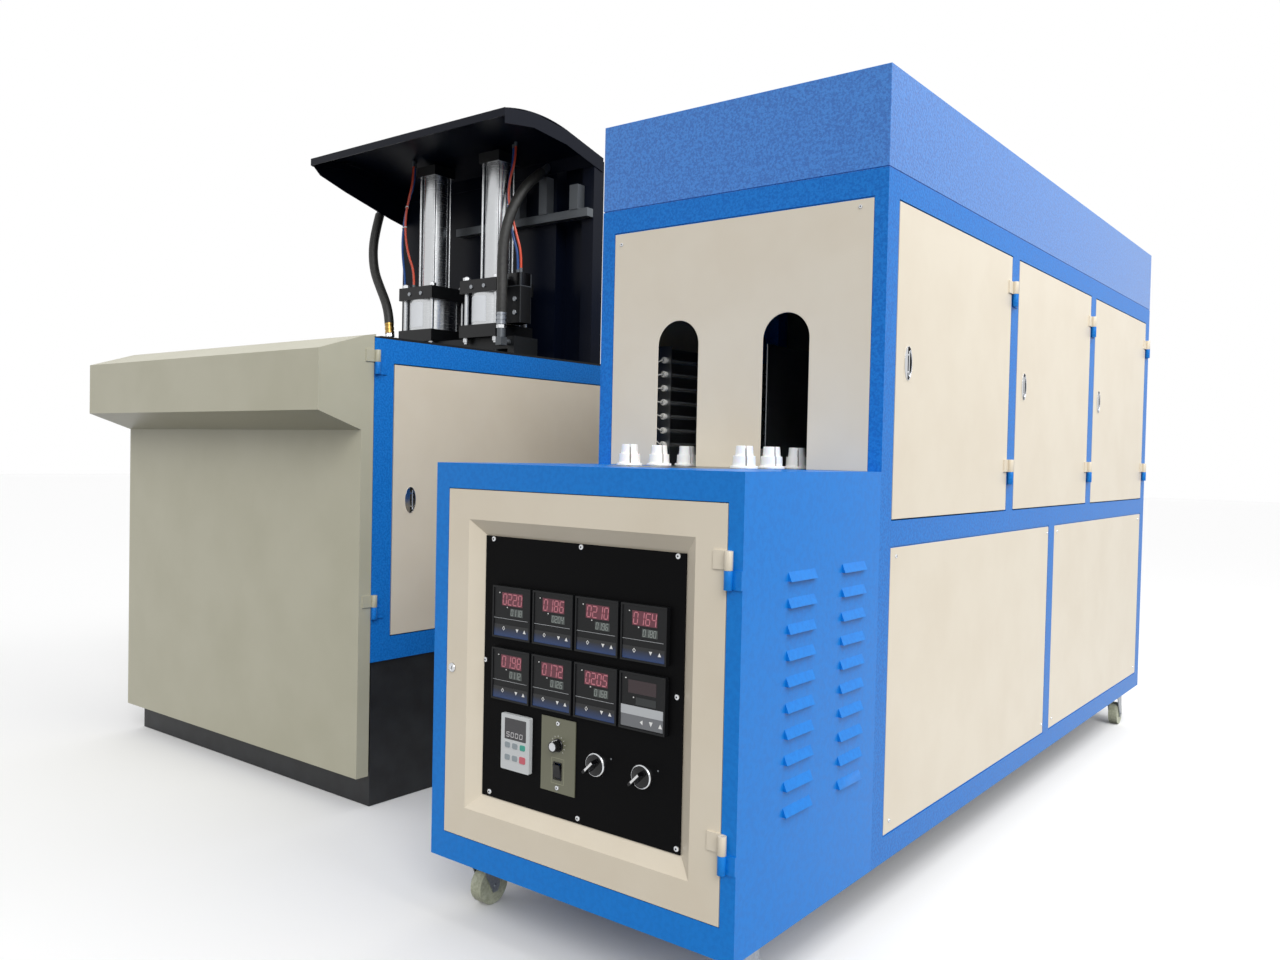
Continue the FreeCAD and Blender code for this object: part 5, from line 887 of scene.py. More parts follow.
plate = Piece()
outer = [(a * PLATE_SIZE[0] / 2 * MM, b * PLATE_SIZE[1] / 2 * MM) for a, b in CORNERS]
drop = ROCKER_AT[1] - PLATE_AT[1]
inner = [(a * 8.3 * MM, (drop + b * 14.3) * MM) for a, b in CORNERS]
plate_back = on_panel(*PLATE_AT)
plate.ring("plate_olive", across(plate_back, RIGHT, UP, outer),
           across(plate_back, RIGHT, UP, inner), -BACK * PLATE_OUT * MM)
rim_on_plate(plate, "knob_black", (20.0, 32.0, 1.5), (16.6, 28.6, 0.6), 1.2)
rim_on_plate(plate, "mark_olive", (30.0, 46.0, 1.0), (29.0, 45.0, 0.6), PRINT_OUT)
tick = millimetres([(14.6, -0.35), (17.6, -0.35), (17.6, 0.35), (14.6, 0.35)])
for k in range(TICKS):
    angle = math.radians(225 - 27 * k)
    spoke = RIGHT * math.cos(angle) + UP * math.sin(angle)
    plate.prism("mark_white", across(on_panel(*KNOB_AT, PLATE_OUT), spoke, spoke.cross(BACK), tick),
                -BACK * PRINT_OUT * MM)
for end in (-1, 1):
    pan_screw(plate, on_panel(PLATE_AT[0], PLATE_AT[1] + end * 57.5, PLATE_OUT), -BACK, 4.6)
plate.place("speed_plate", "control_door", "keypad_grey", edge=0.2, replaces=["panel_fittings"])
print("speed plate with", TICKS, "ticks")

# %% [markdown]
# ## Speed knob
# A moulded phenolic knob: a low skirt, a fluted body for the fingers and a turned metal cap. The
# flutes could be cut out of a cylinder one by one. An outline whose radius steps down at every
# third point gives the same grip in one prism. A white line on the side points at the ticks.

# %% Knob
FLUTE_POINTS = 72
KNOB_HIGH = 14.8
SKIRT_HIGH = 2.6
knob = Piece()
knob_base = Vector((knob_middle.x, PANEL_FACE - 2.3 * MM, knob_middle.z))
knob.turned("knob_black", knob_base, -BACK,
            millimetres([(0, 0), (12, 0), (12, 1.6), (11.2, SKIRT_HIGH), (0, SKIRT_HIGH)]),
            steps=40)
fluted = []
for i in range(FLUTE_POINTS):
    angle = 2 * math.pi * i / FLUTE_POINTS
    radius = (9.2 + 0.55 * (i % 3 != 0)) * MM
    fluted.append((radius * math.cos(angle), radius * math.sin(angle)))
knob.prism("knob_black", across(knob_base - BACK * SKIRT_HIGH * MM, RIGHT, UP, fluted),
           -BACK * (KNOB_HIGH - SKIRT_HIGH) * MM)
knob.turned("bright_steel", knob_base - BACK * KNOB_HIGH * MM, -BACK,
            millimetres([(0, 0), (7.6, 0), (7.6, 0.7), (7.0, 1.1), (1.0, 0.8), (0, 0.8)]),
            steps=32)
knob.turned("bright_steel", knob_base, BACK, pin(3, 10), steps=16)
knob.slab("mark_white", knob_base + Vector((-0.5, -15.9, 8.0)) * MM,
          knob_base + Vector((0.5, -2.6, 10.2)) * MM)
knob.place("speed_knob_dressed", "speed_knob", "knob_black", edge=0, replaces=["speed_knob"])
print("fluted knob")

# %% [markdown]
# ## Selector switches
# Each has a chromed collar round a black turning disc. The grip is a tapered black wing with a
# bright inlay, and it points to the lower left in the off position.

# %% Selectors
SELECTORS = (52.0, 152.0)
SELECTOR_Z = 374.0
collars = Piece()
for sideways in SELECTORS:
    middle = on_panel(sideways, SELECTOR_Z)
    collar = [(21, 0), (21, 5.2), (20.2, 7.0), (19.2, 7.9), (18.6, 8.0), (18.1, 7.6), (18, 1.0),
              (11, 1.0), (11, 0)]
    collars.turned("chrome", middle, -BACK, millimetres(collar), steps=64, closed=True)
    collars.turned("knob_black", middle, BACK, pin(10.7, 40), steps=24)
    dot = on_panel(sideways + 31, SELECTOR_Z + 15)
    collars.turned("mark_grey", dot, -BACK, pin(1.6, 0.4), steps=12)
collars.place("selector_collars", "control_door", "chrome", edge=0, replaces=["panel_fittings"])

DISC = millimetres([(0, 0), (17.6, 0), (17.6, 5.2), (16.6, 5.8), (0, 6.1)])
WING_FOOT = millimetres([(-15, -4.5), (14, -4.5), (19, -2.6), (19, 2.6), (14, 4.5), (-15, 4.5)])
WING_TOP = millimetres([(-13.5, -3), (12, -3), (17, -1.8), (17, 1.8), (12, 3), (-13.5, 3)])
INLAY = millimetres([(-12.5, -1.9), (9.5, -1.9), (9.5, 1.9), (-12.5, 1.9)])
tail = Vector((-math.sqrt(0.5), 0, -math.sqrt(0.5)))
side = tail.cross(BACK)
for number, sideways in enumerate(SELECTORS, 1):
    grip = Piece()
    middle = on_panel(sideways, SELECTOR_Z, 2.3)
    foot, top = middle - BACK * 5.6 * MM, middle - BACK * 23.5 * MM
    grip.turned("knob_black", middle, -BACK, DISC, steps=48)
    grip.taper("knob_black", across(foot, tail, side, WING_FOOT), across(top, tail, side, WING_TOP))
    grip.prism("inlay_bright", across(top, tail, side, INLAY), -BACK * 0.35 * MM)
    grip.turned("bright_steel", middle, BACK, pin(3, 10), steps=16)
    grip.place("selector_grip_" + str(number), "selector_" + str(number), "knob_black",
               edge=0.5, replaces=["selector_lever_" + str(number)])
print("two selectors")

# %% [markdown]
# ## Door lock
# A small chromed cam lock keeps the control door shut. Its face is one turned profile with a
# shallow dish, and a dark slit of painted shade in the dish stands for the key's way in.

# %% Door lock
lock = Piece()
door_low, door_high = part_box("control_door")
lock_at = Vector((door_low.x + 16 * MM, BOX_FRONT, (door_low.z + door_high.z) / 2 - 12 * MM))
lock.turned("chrome", lock_at + BACK * 18 * MM, -BACK,
            millimetres([(0, 0), (8.7, 0), (8.7, 20), (7.9, 21), (4.4, 21), (4.0, 20.2),
                         (0, 20.2)]), steps=32)
# Dark slit of painted shade for the key's way in.
lock.slab("lining", lock_at + Vector((-0.6, -2.5, -3.0)) * MM,
          lock_at + Vector((0.6, -2.1, 3.0)) * MM)
lock.place("door_lock", "control_door", "chrome", edge=0, replaces=["panel_fittings"])
print("lock", [round(v, 3) for v in lock_at])

# %% [markdown]
# ## Flush latches
# A boat-shaped latch is let into each side door: an oval cup with a bright rim. Its front part
# is covered by a polished paddle that turns on an upright pin, and a finger goes into the part
# behind, whose bottom is darkened as painted shade. The square pocket in the sheet is covered by
# a thin plate in the door's colour.

# %% Latches
def box_outline(half_width, half_height, spots):
    """Rectangle with a point for each point of another outline."""
    reach = 1.3 * math.hypot(half_width, half_height)
    outline = []
    for a, b in spots:
        length = math.hypot(a / half_width, b / half_height) or 1.0
        x, z = a / length / half_width * reach, b / length / half_height * reach
        outline.append((max(-half_width, min(half_width, x)),
                        max(-half_height, min(half_height, z))))
    return outline


LATCHES = (("side_door_1", "latch_1", "door_latch_1"), ("side_door_2", "latch_2", "door_latch_2"),
           ("side_door_3", "latch_3", "door_latch_3"),
           ("blow_side_door", "blow_latch", "blow_door_latch"))
LATCH_FROM_EDGE = 56 * MM
HOLE = oval(16.2, 32.6)
RIM_OUTSIDE = oval(17.8, 34.0)
COVER = box_outline(20.5, 36.5, HOLE)
PADDLE = sorted([(a, b) for a, b in oval(15.6, 31.8, 64) if a <= 1.0],
                key=lambda spot: math.atan2(spot[1], spot[0]) % (2 * math.pi))


def on_door(middle, depth, spots):
    """Outline in millimetres, laid in a door's plane at a depth behind its face."""
    return across(middle - RIGHT * depth * MM, BACK, UP, millimetres(spots))


for door, latch, node in LATCHES:
    low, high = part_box(door)
    middle = Vector((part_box(node)[1].x, low.y + LATCH_FROM_EDGE, (low.z + high.z) / 2))
    cup = Piece()
    cup.ring("machine_beige", on_door(middle, 0, COVER), on_door(middle, 0, HOLE),
             RIGHT * 0.3 * MM)
    cup.ring("chrome", on_door(middle, 9, RIM_OUTSIDE), on_door(middle, 9, HOLE),
             RIGHT * 10.6 * MM)
    # The cup's bottom is darkened as painted shade.
    cup.prism("cup_dark", on_door(middle, 10, RIM_OUTSIDE), RIGHT * 0.8 * MM)
    cup.place(door + "_latch_cup", door, "chrome", edge=0.3)
    paddle = Piece()
    paddle.prism("chrome", on_door(middle, 2.6, PADDLE), RIGHT * 2.4 * MM)
    for height in (-17, 17):
        paddle.slab("chrome", middle + Vector((-4.0, 0.0, height - 1.6)) * MM,
                    middle + Vector((-0.8, 11.0, height + 1.6)) * MM)
    paddle.turned("chrome", middle + Vector((-2.0, 9.0, -25.0)) * MM, UP, pin(1.8, 50), steps=16)
    paddle.place(node + "_paddle", latch, "chrome", edge=0.5, replaces=[node])
print(len(LATCHES), "latches")

# %% [markdown]
# ## Preform holders
# Each station of the chain carries a turned nylon plug. A preform is pushed over its top, and
# crossed saw cuts make the plug springy, so it grips. The plugs spin as they pass the lamps, so
# every one has stopped at another angle.

# %% Holders
HOLDER_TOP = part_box("preform_holders")[1].z
HOLDER_FOOT = HOLDER_TOP - 43 * MM
# Height and outer radius of the split part, in millimetres from the foot.
LOBE = ((4.5, 22.2), (23.5, 21.4), (24.0, 20.9), (24.0, 17.8), (42.2, 16.3), (43.0, 15.6))
FLANGE = millimetres([(0, -16), (5, -16), (5, 0), (26.5, 0), (26.5, 3.6), (25.4, 4.8), (0, 4.8)])
CORE = millimetres([(0, 4), (8.2, 4), (8.2, 36), (7, 38), (0, 38)])


def station_centres():
    """Middle of each holder, found from the rims of their tops."""
    centres = []
    for vertex in NODES["preform_holders"].data.vertices:
        if vertex.co.z < HOLDER_TOP - 0.1 * MM:
            continue
        near = [group for group in centres if (group[0] - vertex.co).length < 40 * MM]
        if near:
            near[0].append(vertex.co.copy())
        else:
            centres.append([vertex.co.copy()])
    middles = []
    for group in centres:
        xs, ys = [p.x for p in group], [p.y for p in group]
        middles.append(Vector(((min(xs) + max(xs)) / 2, (min(ys) + max(ys)) / 2, HOLDER_TOP)))
    return middles


def holder_lobe(piece, centre, angle):
    """Quarter of the split upper part, between two saw cuts."""
    cut, bore, count = 1.7, 8.6, 6
    points = []
    for height, radius in LOBE:
        first = math.asin(cut / radius)
        arc = [first + (math.pi / 2 - 2 * first) * i / count for i in range(count + 1)]
        start = math.asin(cut / bore)
        back = [start + (math.pi / 2 - 2 * start) * i / 2 for i in range(3)]
        spots = [(radius, a) for a in arc] + [(bore, a) for a in reversed(back)]
        for r, a in spots:
            points.append(Vector((centre.x + r * MM * math.cos(a + angle),
                                  centre.y + r * MM * math.sin(a + angle),
                                  HOLDER_FOOT + height * MM)))
    per_level = count + 4
    faces = [tuple(range(per_level)), tuple(range(len(points) - per_level, len(points)))]
    for level in range(len(LOBE) - 1):
        for i in range(per_level):
            j = (i + 1) % per_level
            base = level * per_level
            faces.append((base + i, base + j, base + per_level + j, base + per_level + i))
    piece.form("holder_white", points, faces)


random.seed(12)
holders = Piece()
stations = station_centres()
for centre in stations:
    foot = Vector((centre.x, centre.y, HOLDER_FOOT))
    holders.turned("holder_white", foot, UP, FLANGE, steps=32)
    # The core's grey is painted shade in the saw cuts.
    holders.turned("holder_core_shade", foot, UP, CORE, steps=16)
    turn = random.uniform(0, math.pi / 2)
    for quarter in range(4):
        holder_lobe(holders, foot, turn + quarter * math.pi / 2)
holders.place("holders", "machine", "holder_white", edge=0, replaces=["preform_holders"])
print(len(stations), "holders,", len(holders.faces), "faces")

# %% [markdown]
# ## Lamps
# Seven quartz tubes stand one above another in each rack, with a tungsten coil on their axis.
# Each end sits in a steel clip and a round steatite cap, with a terminal screw in its middle,
# and a white braided lead runs from the screw to the terminals on the corner post.

# %% Lamps
LAMP_ROWS = 7
LAMP_PITCH = 32.3 * MM
CLIP_HALF, CLIP_LONG = 6 * MM, 12 * MM
CAP_RADIUS = 7 * MM
lamps_low, lamps_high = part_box("lamps")
LAMP_X = (lamps_low.x + CAP_RADIUS, lamps_high.x - CAP_RADIUS)
LAMP_Z = lamps_low.z + CAP_RADIUS
DOORS = ("side_door_1", "side_door_2", "side_door_3")
CAP = millimetres([(0, -1), (6.6, -1), (6.6, 4), (7.4, 5), (7.4, 9), (6.2, 10.4), (3.4, 10.4),
                   (0, 10.4)])
TERMINAL = millimetres([(0, 10.4), (2.8, 10.4), (2.8, 12.0), (0, 12.2)])


def rack_ends(door):
    """Front and rear ends of the lamps behind a door."""
    low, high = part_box(door)
    return low.y + 40 * MM, high.y - 55 * MM


def lamp(piece, x, front, rear, z):
    """One quartz lamp with its coil, clips, caps and terminal screws."""
    long = (rear - front) / MM
    piece.turned("lamp_quartz", (x, front, z), BACK, pin(5.0, long), steps=16)
    piece.turned("lamp_coil", (x, front, z), BACK,
                 millimetres([(0, 12), (1.1, 12), (1.1, long - 12), (0, long - 12)]), steps=8)
    for end, way in ((front, -1), (rear, 1)):
        inner = end - way * CLIP_LONG
        piece.slab("zinc", (x - CLIP_HALF, min(end, inner), z - CLIP_HALF),
                   (x + CLIP_HALF, max(end, inner), z + CLIP_HALF))
        piece.turned("ceramic", (x, end, z), BACK * way, CAP, steps=24)
        piece.turned("chrome", (x, end, z), BACK * way, TERMINAL, steps=12)


lamps = Piece()
racks = 0
for door in DOORS:
    front, rear = rack_ends(door)
    for x in LAMP_X:
        racks += 1
        for row in range(LAMP_ROWS):
            lamp(lamps, x, front, rear, LAMP_Z + row * LAMP_PITCH)
lamps.place("lamp_tubes", "machine", "lamp_quartz", edge=0, replaces=["lamps"])
print(racks, "racks of", LAMP_ROWS, "lamps; lamp ends", round(front, 4), round(lamps_high.y, 4))

# %% [markdown]
# ## Lamp leads
# Fourteen braided leads fan out from two steatite terminal strips to the front lamp ends. They
# are short and fixed at both ends, so each is a plain tube in the mesh along one smooth bend
# between two ends and two handles, and not a cord of its own.

# %% Lamp leads
LEAD_RADIUS = 1.3 * MM
POST_INNER = 50 * MM
STRIP_DEEP, STRIP_HALF_WIDE, STRIP_HALF_HIGH = 14 * MM, 9 * MM, 54 * MM
TERMINAL_PITCH = 14 * MM


def lead(piece, points, steps=8):
    """Round braided lead along the points of a bend."""
    rings = []
    for i, point in enumerate(points):
        ahead = (points[min(i + 1, len(points) - 1)] - points[max(i - 1, 0)]).normalized()
        side = ahead.cross(UP).normalized()
        above = side.cross(ahead)
        rings += [point + (side * math.cos(a) + above * math.sin(a)) * LEAD_RADIUS
                  for a in (2 * math.pi * k / steps for k in range(steps))]
    count = len(points)
    faces = [tuple(range(steps)), tuple(range((count - 1) * steps, count * steps))]
    for i in range(count - 1):
        for k in range(steps):
            j = (k + 1) % steps
            faces.append((i * steps + k, i * steps + j, (i + 1) * steps + j,
                          (i + 1) * steps + k))
    piece.form("lead_white", rings, faces)


def bend(start, leave, arrive, end, steps=14):
    """Points of one smooth bend between two ends and two handles."""
    points = []
    for i in range(steps + 1):
        t = i / steps
        s = 1 - t
        points.append(start * s ** 3 + leave * 3 * s * s * t + arrive * 3 * s * t * t
                      + end * t ** 3)
    return points


leads = Piece()
front_end = rack_ends(DOORS[0])[0] - 12 * MM
strip_y = TUNNEL_FRONT + 26 * MM
middle_z = LAMP_Z + 3 * LAMP_PITCH + 8 * MM
for x, way, post in ((LAMP_X[0], -1, OVEN_LEFT + POST_INNER),
                     (LAMP_X[1], 1, OVEN_RIGHT - POST_INNER)):
    strip = sorted((post, post - way * STRIP_DEEP))
    leads.slab("ceramic", (strip[0], strip_y - STRIP_HALF_WIDE, middle_z - STRIP_HALF_HIGH),
               (strip[1], strip_y + STRIP_HALF_WIDE, middle_z + STRIP_HALF_HIGH))
    for row in range(LAMP_ROWS):
        at = Vector((post - way * STRIP_DEEP, strip_y, middle_z + (row - 3) * TERMINAL_PITCH))
        leads.turned("chrome", at, -RIGHT * way, millimetres([(0, 0), (3, 0), (3, 1.6), (0, 2)]),
                     steps=12)
        start = Vector((x, front_end, LAMP_Z + row * LAMP_PITCH))
        knee = start - BACK * 9 * MM + RIGHT * way * 4 * MM
        hand = at - RIGHT * way * 12 * MM + UP * 2 * MM
        lead(leads, bend(start, knee, hand, at - RIGHT * way * 1.5 * MM))
leads.place("lamp_wiring", "machine", "lamp_quartz", edge=0)
print("14 leads to two terminal strips")

# %% [markdown]
# ## Cylinders and their fittings
# Eight bolts hold each square cap. A plain foil label is stuck round the front of every seal
# barrel, and the hose ends wear crimped ferrules: brass on the left hose, zinc on the right.

# %% Cylinder details
CAPS_LOW, CAPS_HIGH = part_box("cylinder_caps")
CAP_HALF = 87 * MM
BOLT_OUT = 70 * MM
CYLINDER_Y = (CAPS_LOW.y + CAPS_HIGH.y) / 2
CYLINDER_X = (CAPS_LOW.x + CAP_HALF, CAPS_HIGH.x - CAP_HALF)
NUT_LEVEL = 1481 * MM
LABEL_FOOT, LABEL_HIGH = 1341 * MM, 86 * MM
LABEL_INSIDE, LABEL_OUTSIDE = 84.1 * MM, 84.5 * MM
hardware = Piece()


def hexagon(piece, finish, centre, axis, across_flats, height):
    """Hexagonal nut or bolt head."""
    first = Vector(axis).orthogonal().normalized()
    second = Vector(axis).cross(first)
    radius = across_flats / math.sqrt(3)
    spots = [(radius * math.cos(math.pi / 3 * i), radius * math.sin(math.pi / 3 * i))
             for i in range(6)]
    piece.prism(finish, across(centre, first, second, millimetres(spots)),
                Vector(axis) * height * MM)


for x in CYLINDER_X:
    for sx in (-1, 1):
        for sy in (-1, 1):
            spot = Vector((x + sx * BOLT_OUT, CYLINDER_Y + sy * BOLT_OUT, NUT_LEVEL))
            hexagon(hardware, "bright_steel", spot, UP, 24.0, 11.0)
            hardware.turned("bright_steel", spot + UP * 11 * MM, UP,
                            millimetres([(0, 0), (6.4, 0), (6.4, 3), (5.6, 4), (0, 4)]),
                            steps=16)
    for side in (-1, 1):
        port = Vector((x + side * 30 * MM, CAPS_LOW.y, NUT_LEVEL - 24 * MM))
        hexagon(hardware, "zinc", port, -BACK, 13.0, 3.0)
hardware.place("cylinder_hardware", "machine", "bright_steel", edge=0.4)


def barrel_label(piece, x, start, end):
    """Thin foil bent round the barrel between two angles, measured from the front."""
    inner, outer = [], []
    for i in range(17):
        angle = math.radians(start + (end - start) * i / 16)
        way = Vector((math.sin(angle), -math.cos(angle), 0))
        inner.append(Vector((x, CYLINDER_Y, LABEL_FOOT)) + way * LABEL_INSIDE)
        outer.append(Vector((x, CYLINDER_Y, LABEL_FOOT)) + way * LABEL_OUTSIDE)
    piece.prism("label_foil", inner + outer[::-1], UP * LABEL_HIGH)


labels = Piece()
for x in CYLINDER_X:
    barrel_label(labels, x, -28, 22)
labels.place("barrel_labels", "machine", "bright_steel", edge=0)
print("2 cylinders with", len(hardware.faces), "faces of nuts and ports, and 2 labels")

# %% [markdown]
# ## Hose ferrules and tube ties
# A ferrule is a thin sleeve that a press has squeezed onto the hose in three rings. A turned
# profile with two grooves gives it, over a hexagonal union. White ties hold the air tubes in
# pairs: each is a flat ring between two outlines round both tubes.

# %% Hose ferrules and tube ties
ferrules = Piece()
SLEEVE = ((14.4, 0), (16.6, 0), (16.6, 8), (15.2, 9), (15.2, 14), (16.6, 15), (16.6, 24),
          (15.2, 25), (15.2, 30), (16.6, 31), (16.6, 40), (14.4, 41))
for name, finish in (("hose_left", "brass"), ("hose_right", "zinc")):
    route = [on_blow_unit(point) for point in ROUTES[name]]
    way = (route[1] - route[0]).normalized()
    ferrules.turned(finish, route[0] - way * 38 * MM, way, millimetres(SLEEVE), steps=32,
                    closed=True)
    hexagon(ferrules, "bright_steel", route[0] - way * 51 * MM, way, 29.0, 11.0)
ferrules.place("hose_ferrules", "machine", "zinc", edge=0)


def stadium(first, second, radius, steps=12):
    """Outline round two points in a level plane."""
    along = (second - first).normalized()
    beside = along.cross(UP)
    spots = []
    for middle, sign in ((second, 1), (first, -1)):
        for i in range(steps + 1):
            angle = math.pi * i / steps - math.pi / 2
            spots.append(middle + (along * math.cos(angle) + beside * math.sin(angle))
                         * radius * sign)
    return spots


TIES = (((-.2330, .7646, 1.772), (-.2515, .7783, 1.772)),
        ((-.2380, .7620, 1.700), (-.2610, .7720, 1.700)),
        ((.2480, .7915, 1.722), (.2310, .8065, 1.722)))
ties = Piece()
for pair in TIES:
    first, second = (on_blow_unit(point) for point in pair)
    ties.ring("tie_white", stadium(first, second, 5.4 * MM), stadium(first, second, 4.3 * MM),
              UP * 3.6 * MM)
ties.place("tube_ties", "machine", "tube_red", edge=0)
print("2 ferrules,", len(TIES), "ties")

# %% [markdown]
# ## Side valve
# The right cylinder carries a black air valve with two threaded ports and a pilot cap. Its solid
# is a plain block, so a thin shell with rounded corners is fitted over it, and a second one over
# the cap leaves a fine joint between them.

# %% Side valve
VALVE_WIDE, VALVE_DEEP = 62, 50
VALVE_FOOT = 1334 * MM
VALVE_X = CYLINDER_X[1] + CAP_HALF + VALVE_WIDE / 2 * MM
VALVE_FRONT = CYLINDER_Y - 37 * MM
valve = Piece()
valve_middle = Vector((VALVE_X, VALVE_FRONT + VALVE_DEEP / 2 * MM, VALVE_FOOT))
shell = millimetres(rounded(VALVE_WIDE + 2.4, VALVE_DEEP + 2.4, 5.0))
valve.prism("instrument_black", across(valve_middle, RIGHT, BACK, shell), UP * 120 * MM)
shell = millimetres(rounded(VALVE_WIDE + 2.0, VALVE_DEEP + 2.0, 8.0))
valve.prism("knob_black", across(valve_middle + UP * 123 * MM, RIGHT, BACK, shell), UP * 41.5 * MM)
for height in (34, 78):
    port = Vector((VALVE_X + 8 * MM, VALVE_FRONT - 1.2 * MM, VALVE_FOOT + height * MM))
    hexagon(valve, "zinc", port, -BACK, 15.0, 4.0)
valve.place("side_valve", "machine", "cap_dark", edge=0.6)
print("side valve at", round(VALVE_X, 3))

# %% [markdown]
# ## Roof seals
# Painted strips close the joints between the roof plate, its cheeks and the back wall, so no
# light shows through. Straight strips would leave slits under a curved roof. These follow the
# same arc as the roof plate, worked out from three of its points.

# %% Roof seals
# Points of the roof's section, in millimetres behind the blow unit's front and above the floor.
ROOF = ((541.0, 1929.0), (663.0, 1947.0), (813.0, 1933.0), (948.0, 1898.9))
ROOF_GAP, SEAL_HIGH, SEAL_THICK = 3.3, 24, 2 * MM


def roof_height(y):
    """Top of the roof in section: one arc through its first three points, then a slope."""
    (x1, z1), (x2, z2), (x3, z3), (x4, z4) = ROOF
    if y > x3:
        return z3 + (y - x3) * (z4 - z3) / (x4 - x3)
    turn = 2 * ((x2 - x1) * (z3 - z1) - (x3 - x1) * (z2 - z1))
    b, c = (x2 - x1) ** 2 + (z2 - z1) ** 2, (x3 - x1) ** 2 + (z3 - z1) ** 2
    mx = x1 + ((z3 - z1) * b - (z2 - z1) * c) / turn
    mz = z1 + ((x2 - x1) * c - (x3 - x1) * b) / turn
    return mz + math.sqrt((x1 - mx) ** 2 + (z1 - mz) ** 2 - (y - mx) ** 2)


# The seals wear the blow unit's hood finish: navy darkened to near black as painted shade.
seals = Piece()
hood_low, hood_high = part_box("machine_hood")
line = [541.5 + (813 - 541.5) * i / 24 for i in range(25)] + [948.0]
over = [(BLOW_FRONT + y * MM, (roof_height(y) - ROOF_GAP) * MM) for y in line]
under = [(y, z - SEAL_HIGH * MM) for y, z in reversed(over)]
for x in (hood_low.x + 3.1 * MM, hood_high.x - 5.1 * MM):
    seals.prism("navy_paint", [(x, y, z) for y, z in over + under], RIGHT * SEAL_THICK)
wall_low, wall_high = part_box("back_wall")
seals.slab("navy_paint", (hood_low.x + 6 * MM, wall_low.y - 2.2 * MM, wall_high.z - 30 * MM),
           (hood_high.x - 6 * MM, wall_low.y - 0.2 * MM, wall_high.z + 12 * MM))
seals.place("roof_seals", "machine", "navy_paint", edge=0)
print("3 seals, the highest at", round(over[0][1], 3))

# %% [markdown]
# ## Screws of the panels
# Small pan screws hold the arched front panel and the lower side panels. Their places are in
# millimetres from the heater's right front corner and the floor.

# %% Panel screws on the cabinets
FRONT_SCREWS = ((-644, 1383), (-57, 1393))
SIDE_SCREWS = [(rearwards, height) for height in (721, 200)
               for rearwards in (561, 1540, 1632, 2590)]
SCREW_RADIUS_MM = 4.2
cabinet_screws = Piece()
front_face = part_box("oven_front_panel")[0].y
for sideways, height in FRONT_SCREWS:
    pan_screw(cabinet_screws, (OVEN_RIGHT + sideways * MM, front_face, height * MM), -BACK,
              SCREW_RADIUS_MM)
side_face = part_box("fixed_panels")[1].x
for rearwards, height in SIDE_SCREWS:
    pan_screw(cabinet_screws, (side_face, BOX_FRONT + rearwards * MM, height * MM), RIGHT,
              SCREW_RADIUS_MM)
cabinet_screws.place("cabinet_screws", "machine", "chrome", edge=0)
print(len(FRONT_SCREWS) + len(SIDE_SCREWS), "screws on the cabinets")

# %% [markdown]
# ## Floor and world
# The machine stands on a wide pale floor under a white sky. White paint and a bright sky would
# flood the blue and the beige with light, so both are white only where the eye sees them,
# straight or in metal and glass. For the light that they bounce, the floor is grey and the sky
# is a little weaker.

# %% Floor and world
FLOOR_SIDE, FLOOR_DROP = 60.0, 0.5 * MM
SKY_BOUNCE, SKY_SEEN = 0.80, 1.0


def stage_plane(name, size, height):
    """Large square floor under the machine."""
    mesh = bpy.data.meshes.new(name)
    half = size / 2
    mesh.from_pydata([(a * half, b * half, height) for a, b in CORNERS], [], [(0, 1, 2, 3)])
    floor = put_in_scene(name, mesh)
    return floor


def seen_by_eye(tree):
    """1 where the eye sees a surface, straight or in metal and glass, and 0 for bounced light."""
    ray = add(tree, "ShaderNodeLightPath")
    seen = ray.outputs["Is Camera Ray"]
    for way in ("Is Glossy Ray", "Is Transmission Ray"):
        seen = add(tree, "ShaderNodeMath", {0: seen, 1: ray.outputs[way]},
                   operation="MAXIMUM").outputs[0]
    return seen


floor = stage_plane("studio_floor", FLOOR_SIDE, -FLOOR_DROP)
floor_paint = new_finish("studio_white", "#f4f4f4", 0.9)
tree = floor_paint.node_tree
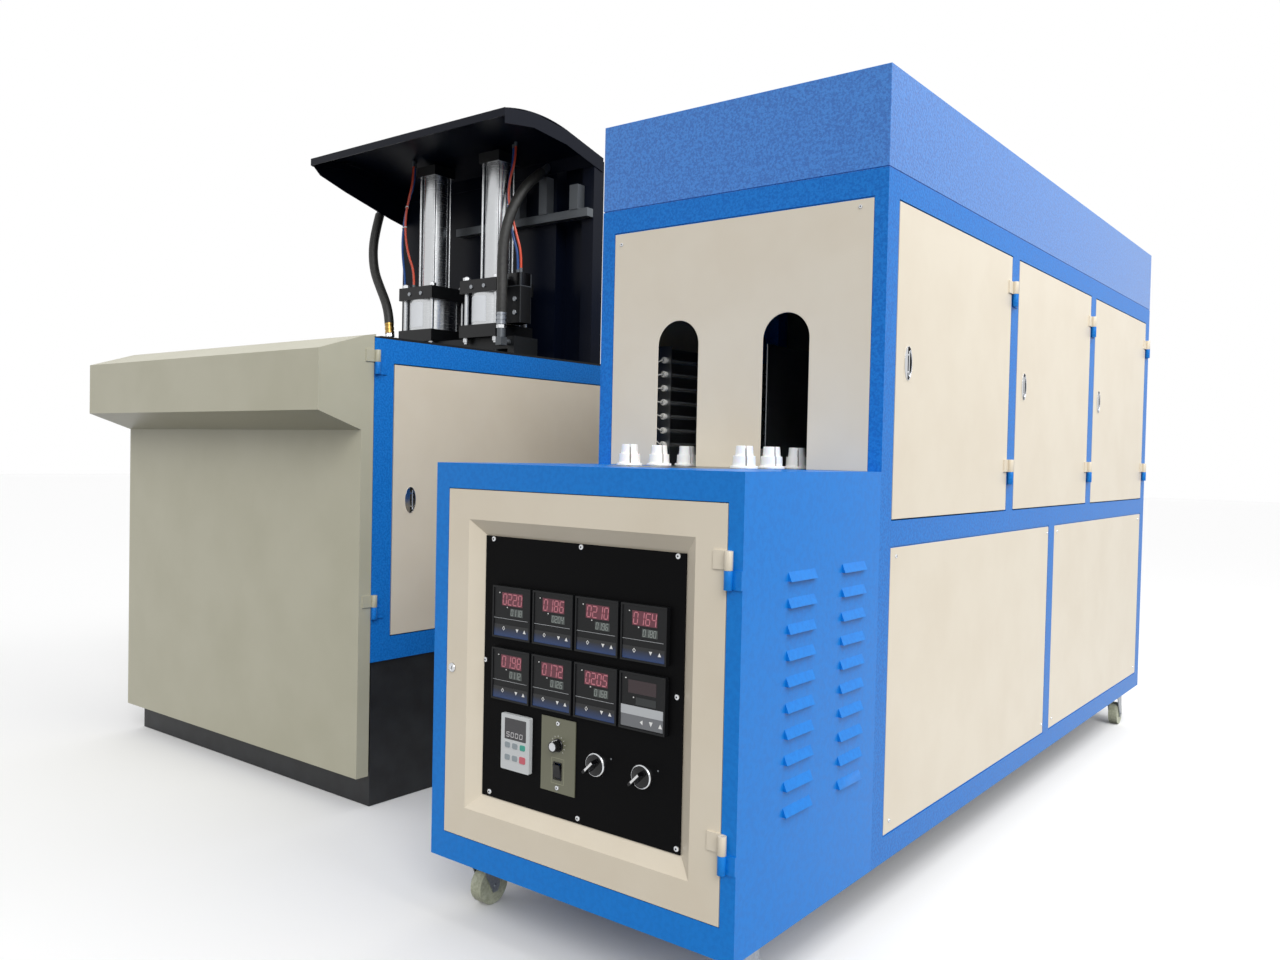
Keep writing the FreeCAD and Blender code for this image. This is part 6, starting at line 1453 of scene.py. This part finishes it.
# The colour sockets of a Mix node are its inputs 6 and 7 and its output 2.
tone = add(tree, "ShaderNodeMix", {"Factor": seen_by_eye(tree)}, data_type="RGBA")
tone.inputs[6].default_value = linear("#636364")
tone.inputs[7].default_value = linear("#f4f4f4")
tree.links.new(tone.outputs[2], tree.nodes["Principled BSDF"].inputs["Base Color"])
floor.data.materials.append(floor_paint)

world = bpy.data.worlds.new("studio_world")
world.use_nodes = True
bpy.context.scene.world = world
tree = world.node_tree
level = add(tree, "ShaderNodeMapRange", {"Value": seen_by_eye(tree), "To Min": SKY_BOUNCE,
            "To Max": SKY_SEEN})
background = tree.nodes["Background"]
background.inputs["Color"].default_value = (1.0, 1.0, 1.0, 1.0)
tree.links.new(level.outputs["Result"], background.inputs["Strength"])
print("floor", FLOOR_SIDE, "m wide")

# %% [markdown]
# ## Lights
# One broad, soft sun comes from the right front, so the right sides are the brightest faces and
# shadows have wide, soft edges. A long softbox above the right side lays a sheen along the hood
# and the doors. One hard lamp would be simpler, but it would burn the beige paint to white.

# %% Lights
SUN_WAY, SUN_STRENGTH, SUN_SPREAD = Vector((-0.60, 0.54, -0.50)), 1.56, math.radians(35)
SOFTBOX_PLACE, SOFTBOX_WAY = (OVEN_RIGHT + 1.6, 0.1, 3.6), Vector((-1.6, 0.0, -2.6))
SOFTBOX_LONG, SOFTBOX_WIDE, SOFTBOX_WATTS = 3.6, 1.4, 74.0


def add_light(name, kind, energy, way, place=(0.0, 0.0, 0.0), **settings):
    """Light that shines along a direction."""
    data = bpy.data.lights.new(name, kind)
    data.energy = energy
    for setting, value in settings.items():
        setattr(data, setting, value)
    light = put_in_scene(name, data)
    light.location = place
    light.rotation_euler = way.to_track_quat("-Z", "Y").to_euler()


add_light("soft_sun", "SUN", SUN_STRENGTH, SUN_WAY, angle=SUN_SPREAD)
add_light("softbox", "AREA", SOFTBOX_WATTS, SOFTBOX_WAY, SOFTBOX_PLACE, shape="RECTANGLE",
          size=SOFTBOX_LONG, size_y=SOFTBOX_WIDE)
bpy.context.scene.view_settings.view_transform = "Standard"
print("sun and softbox")
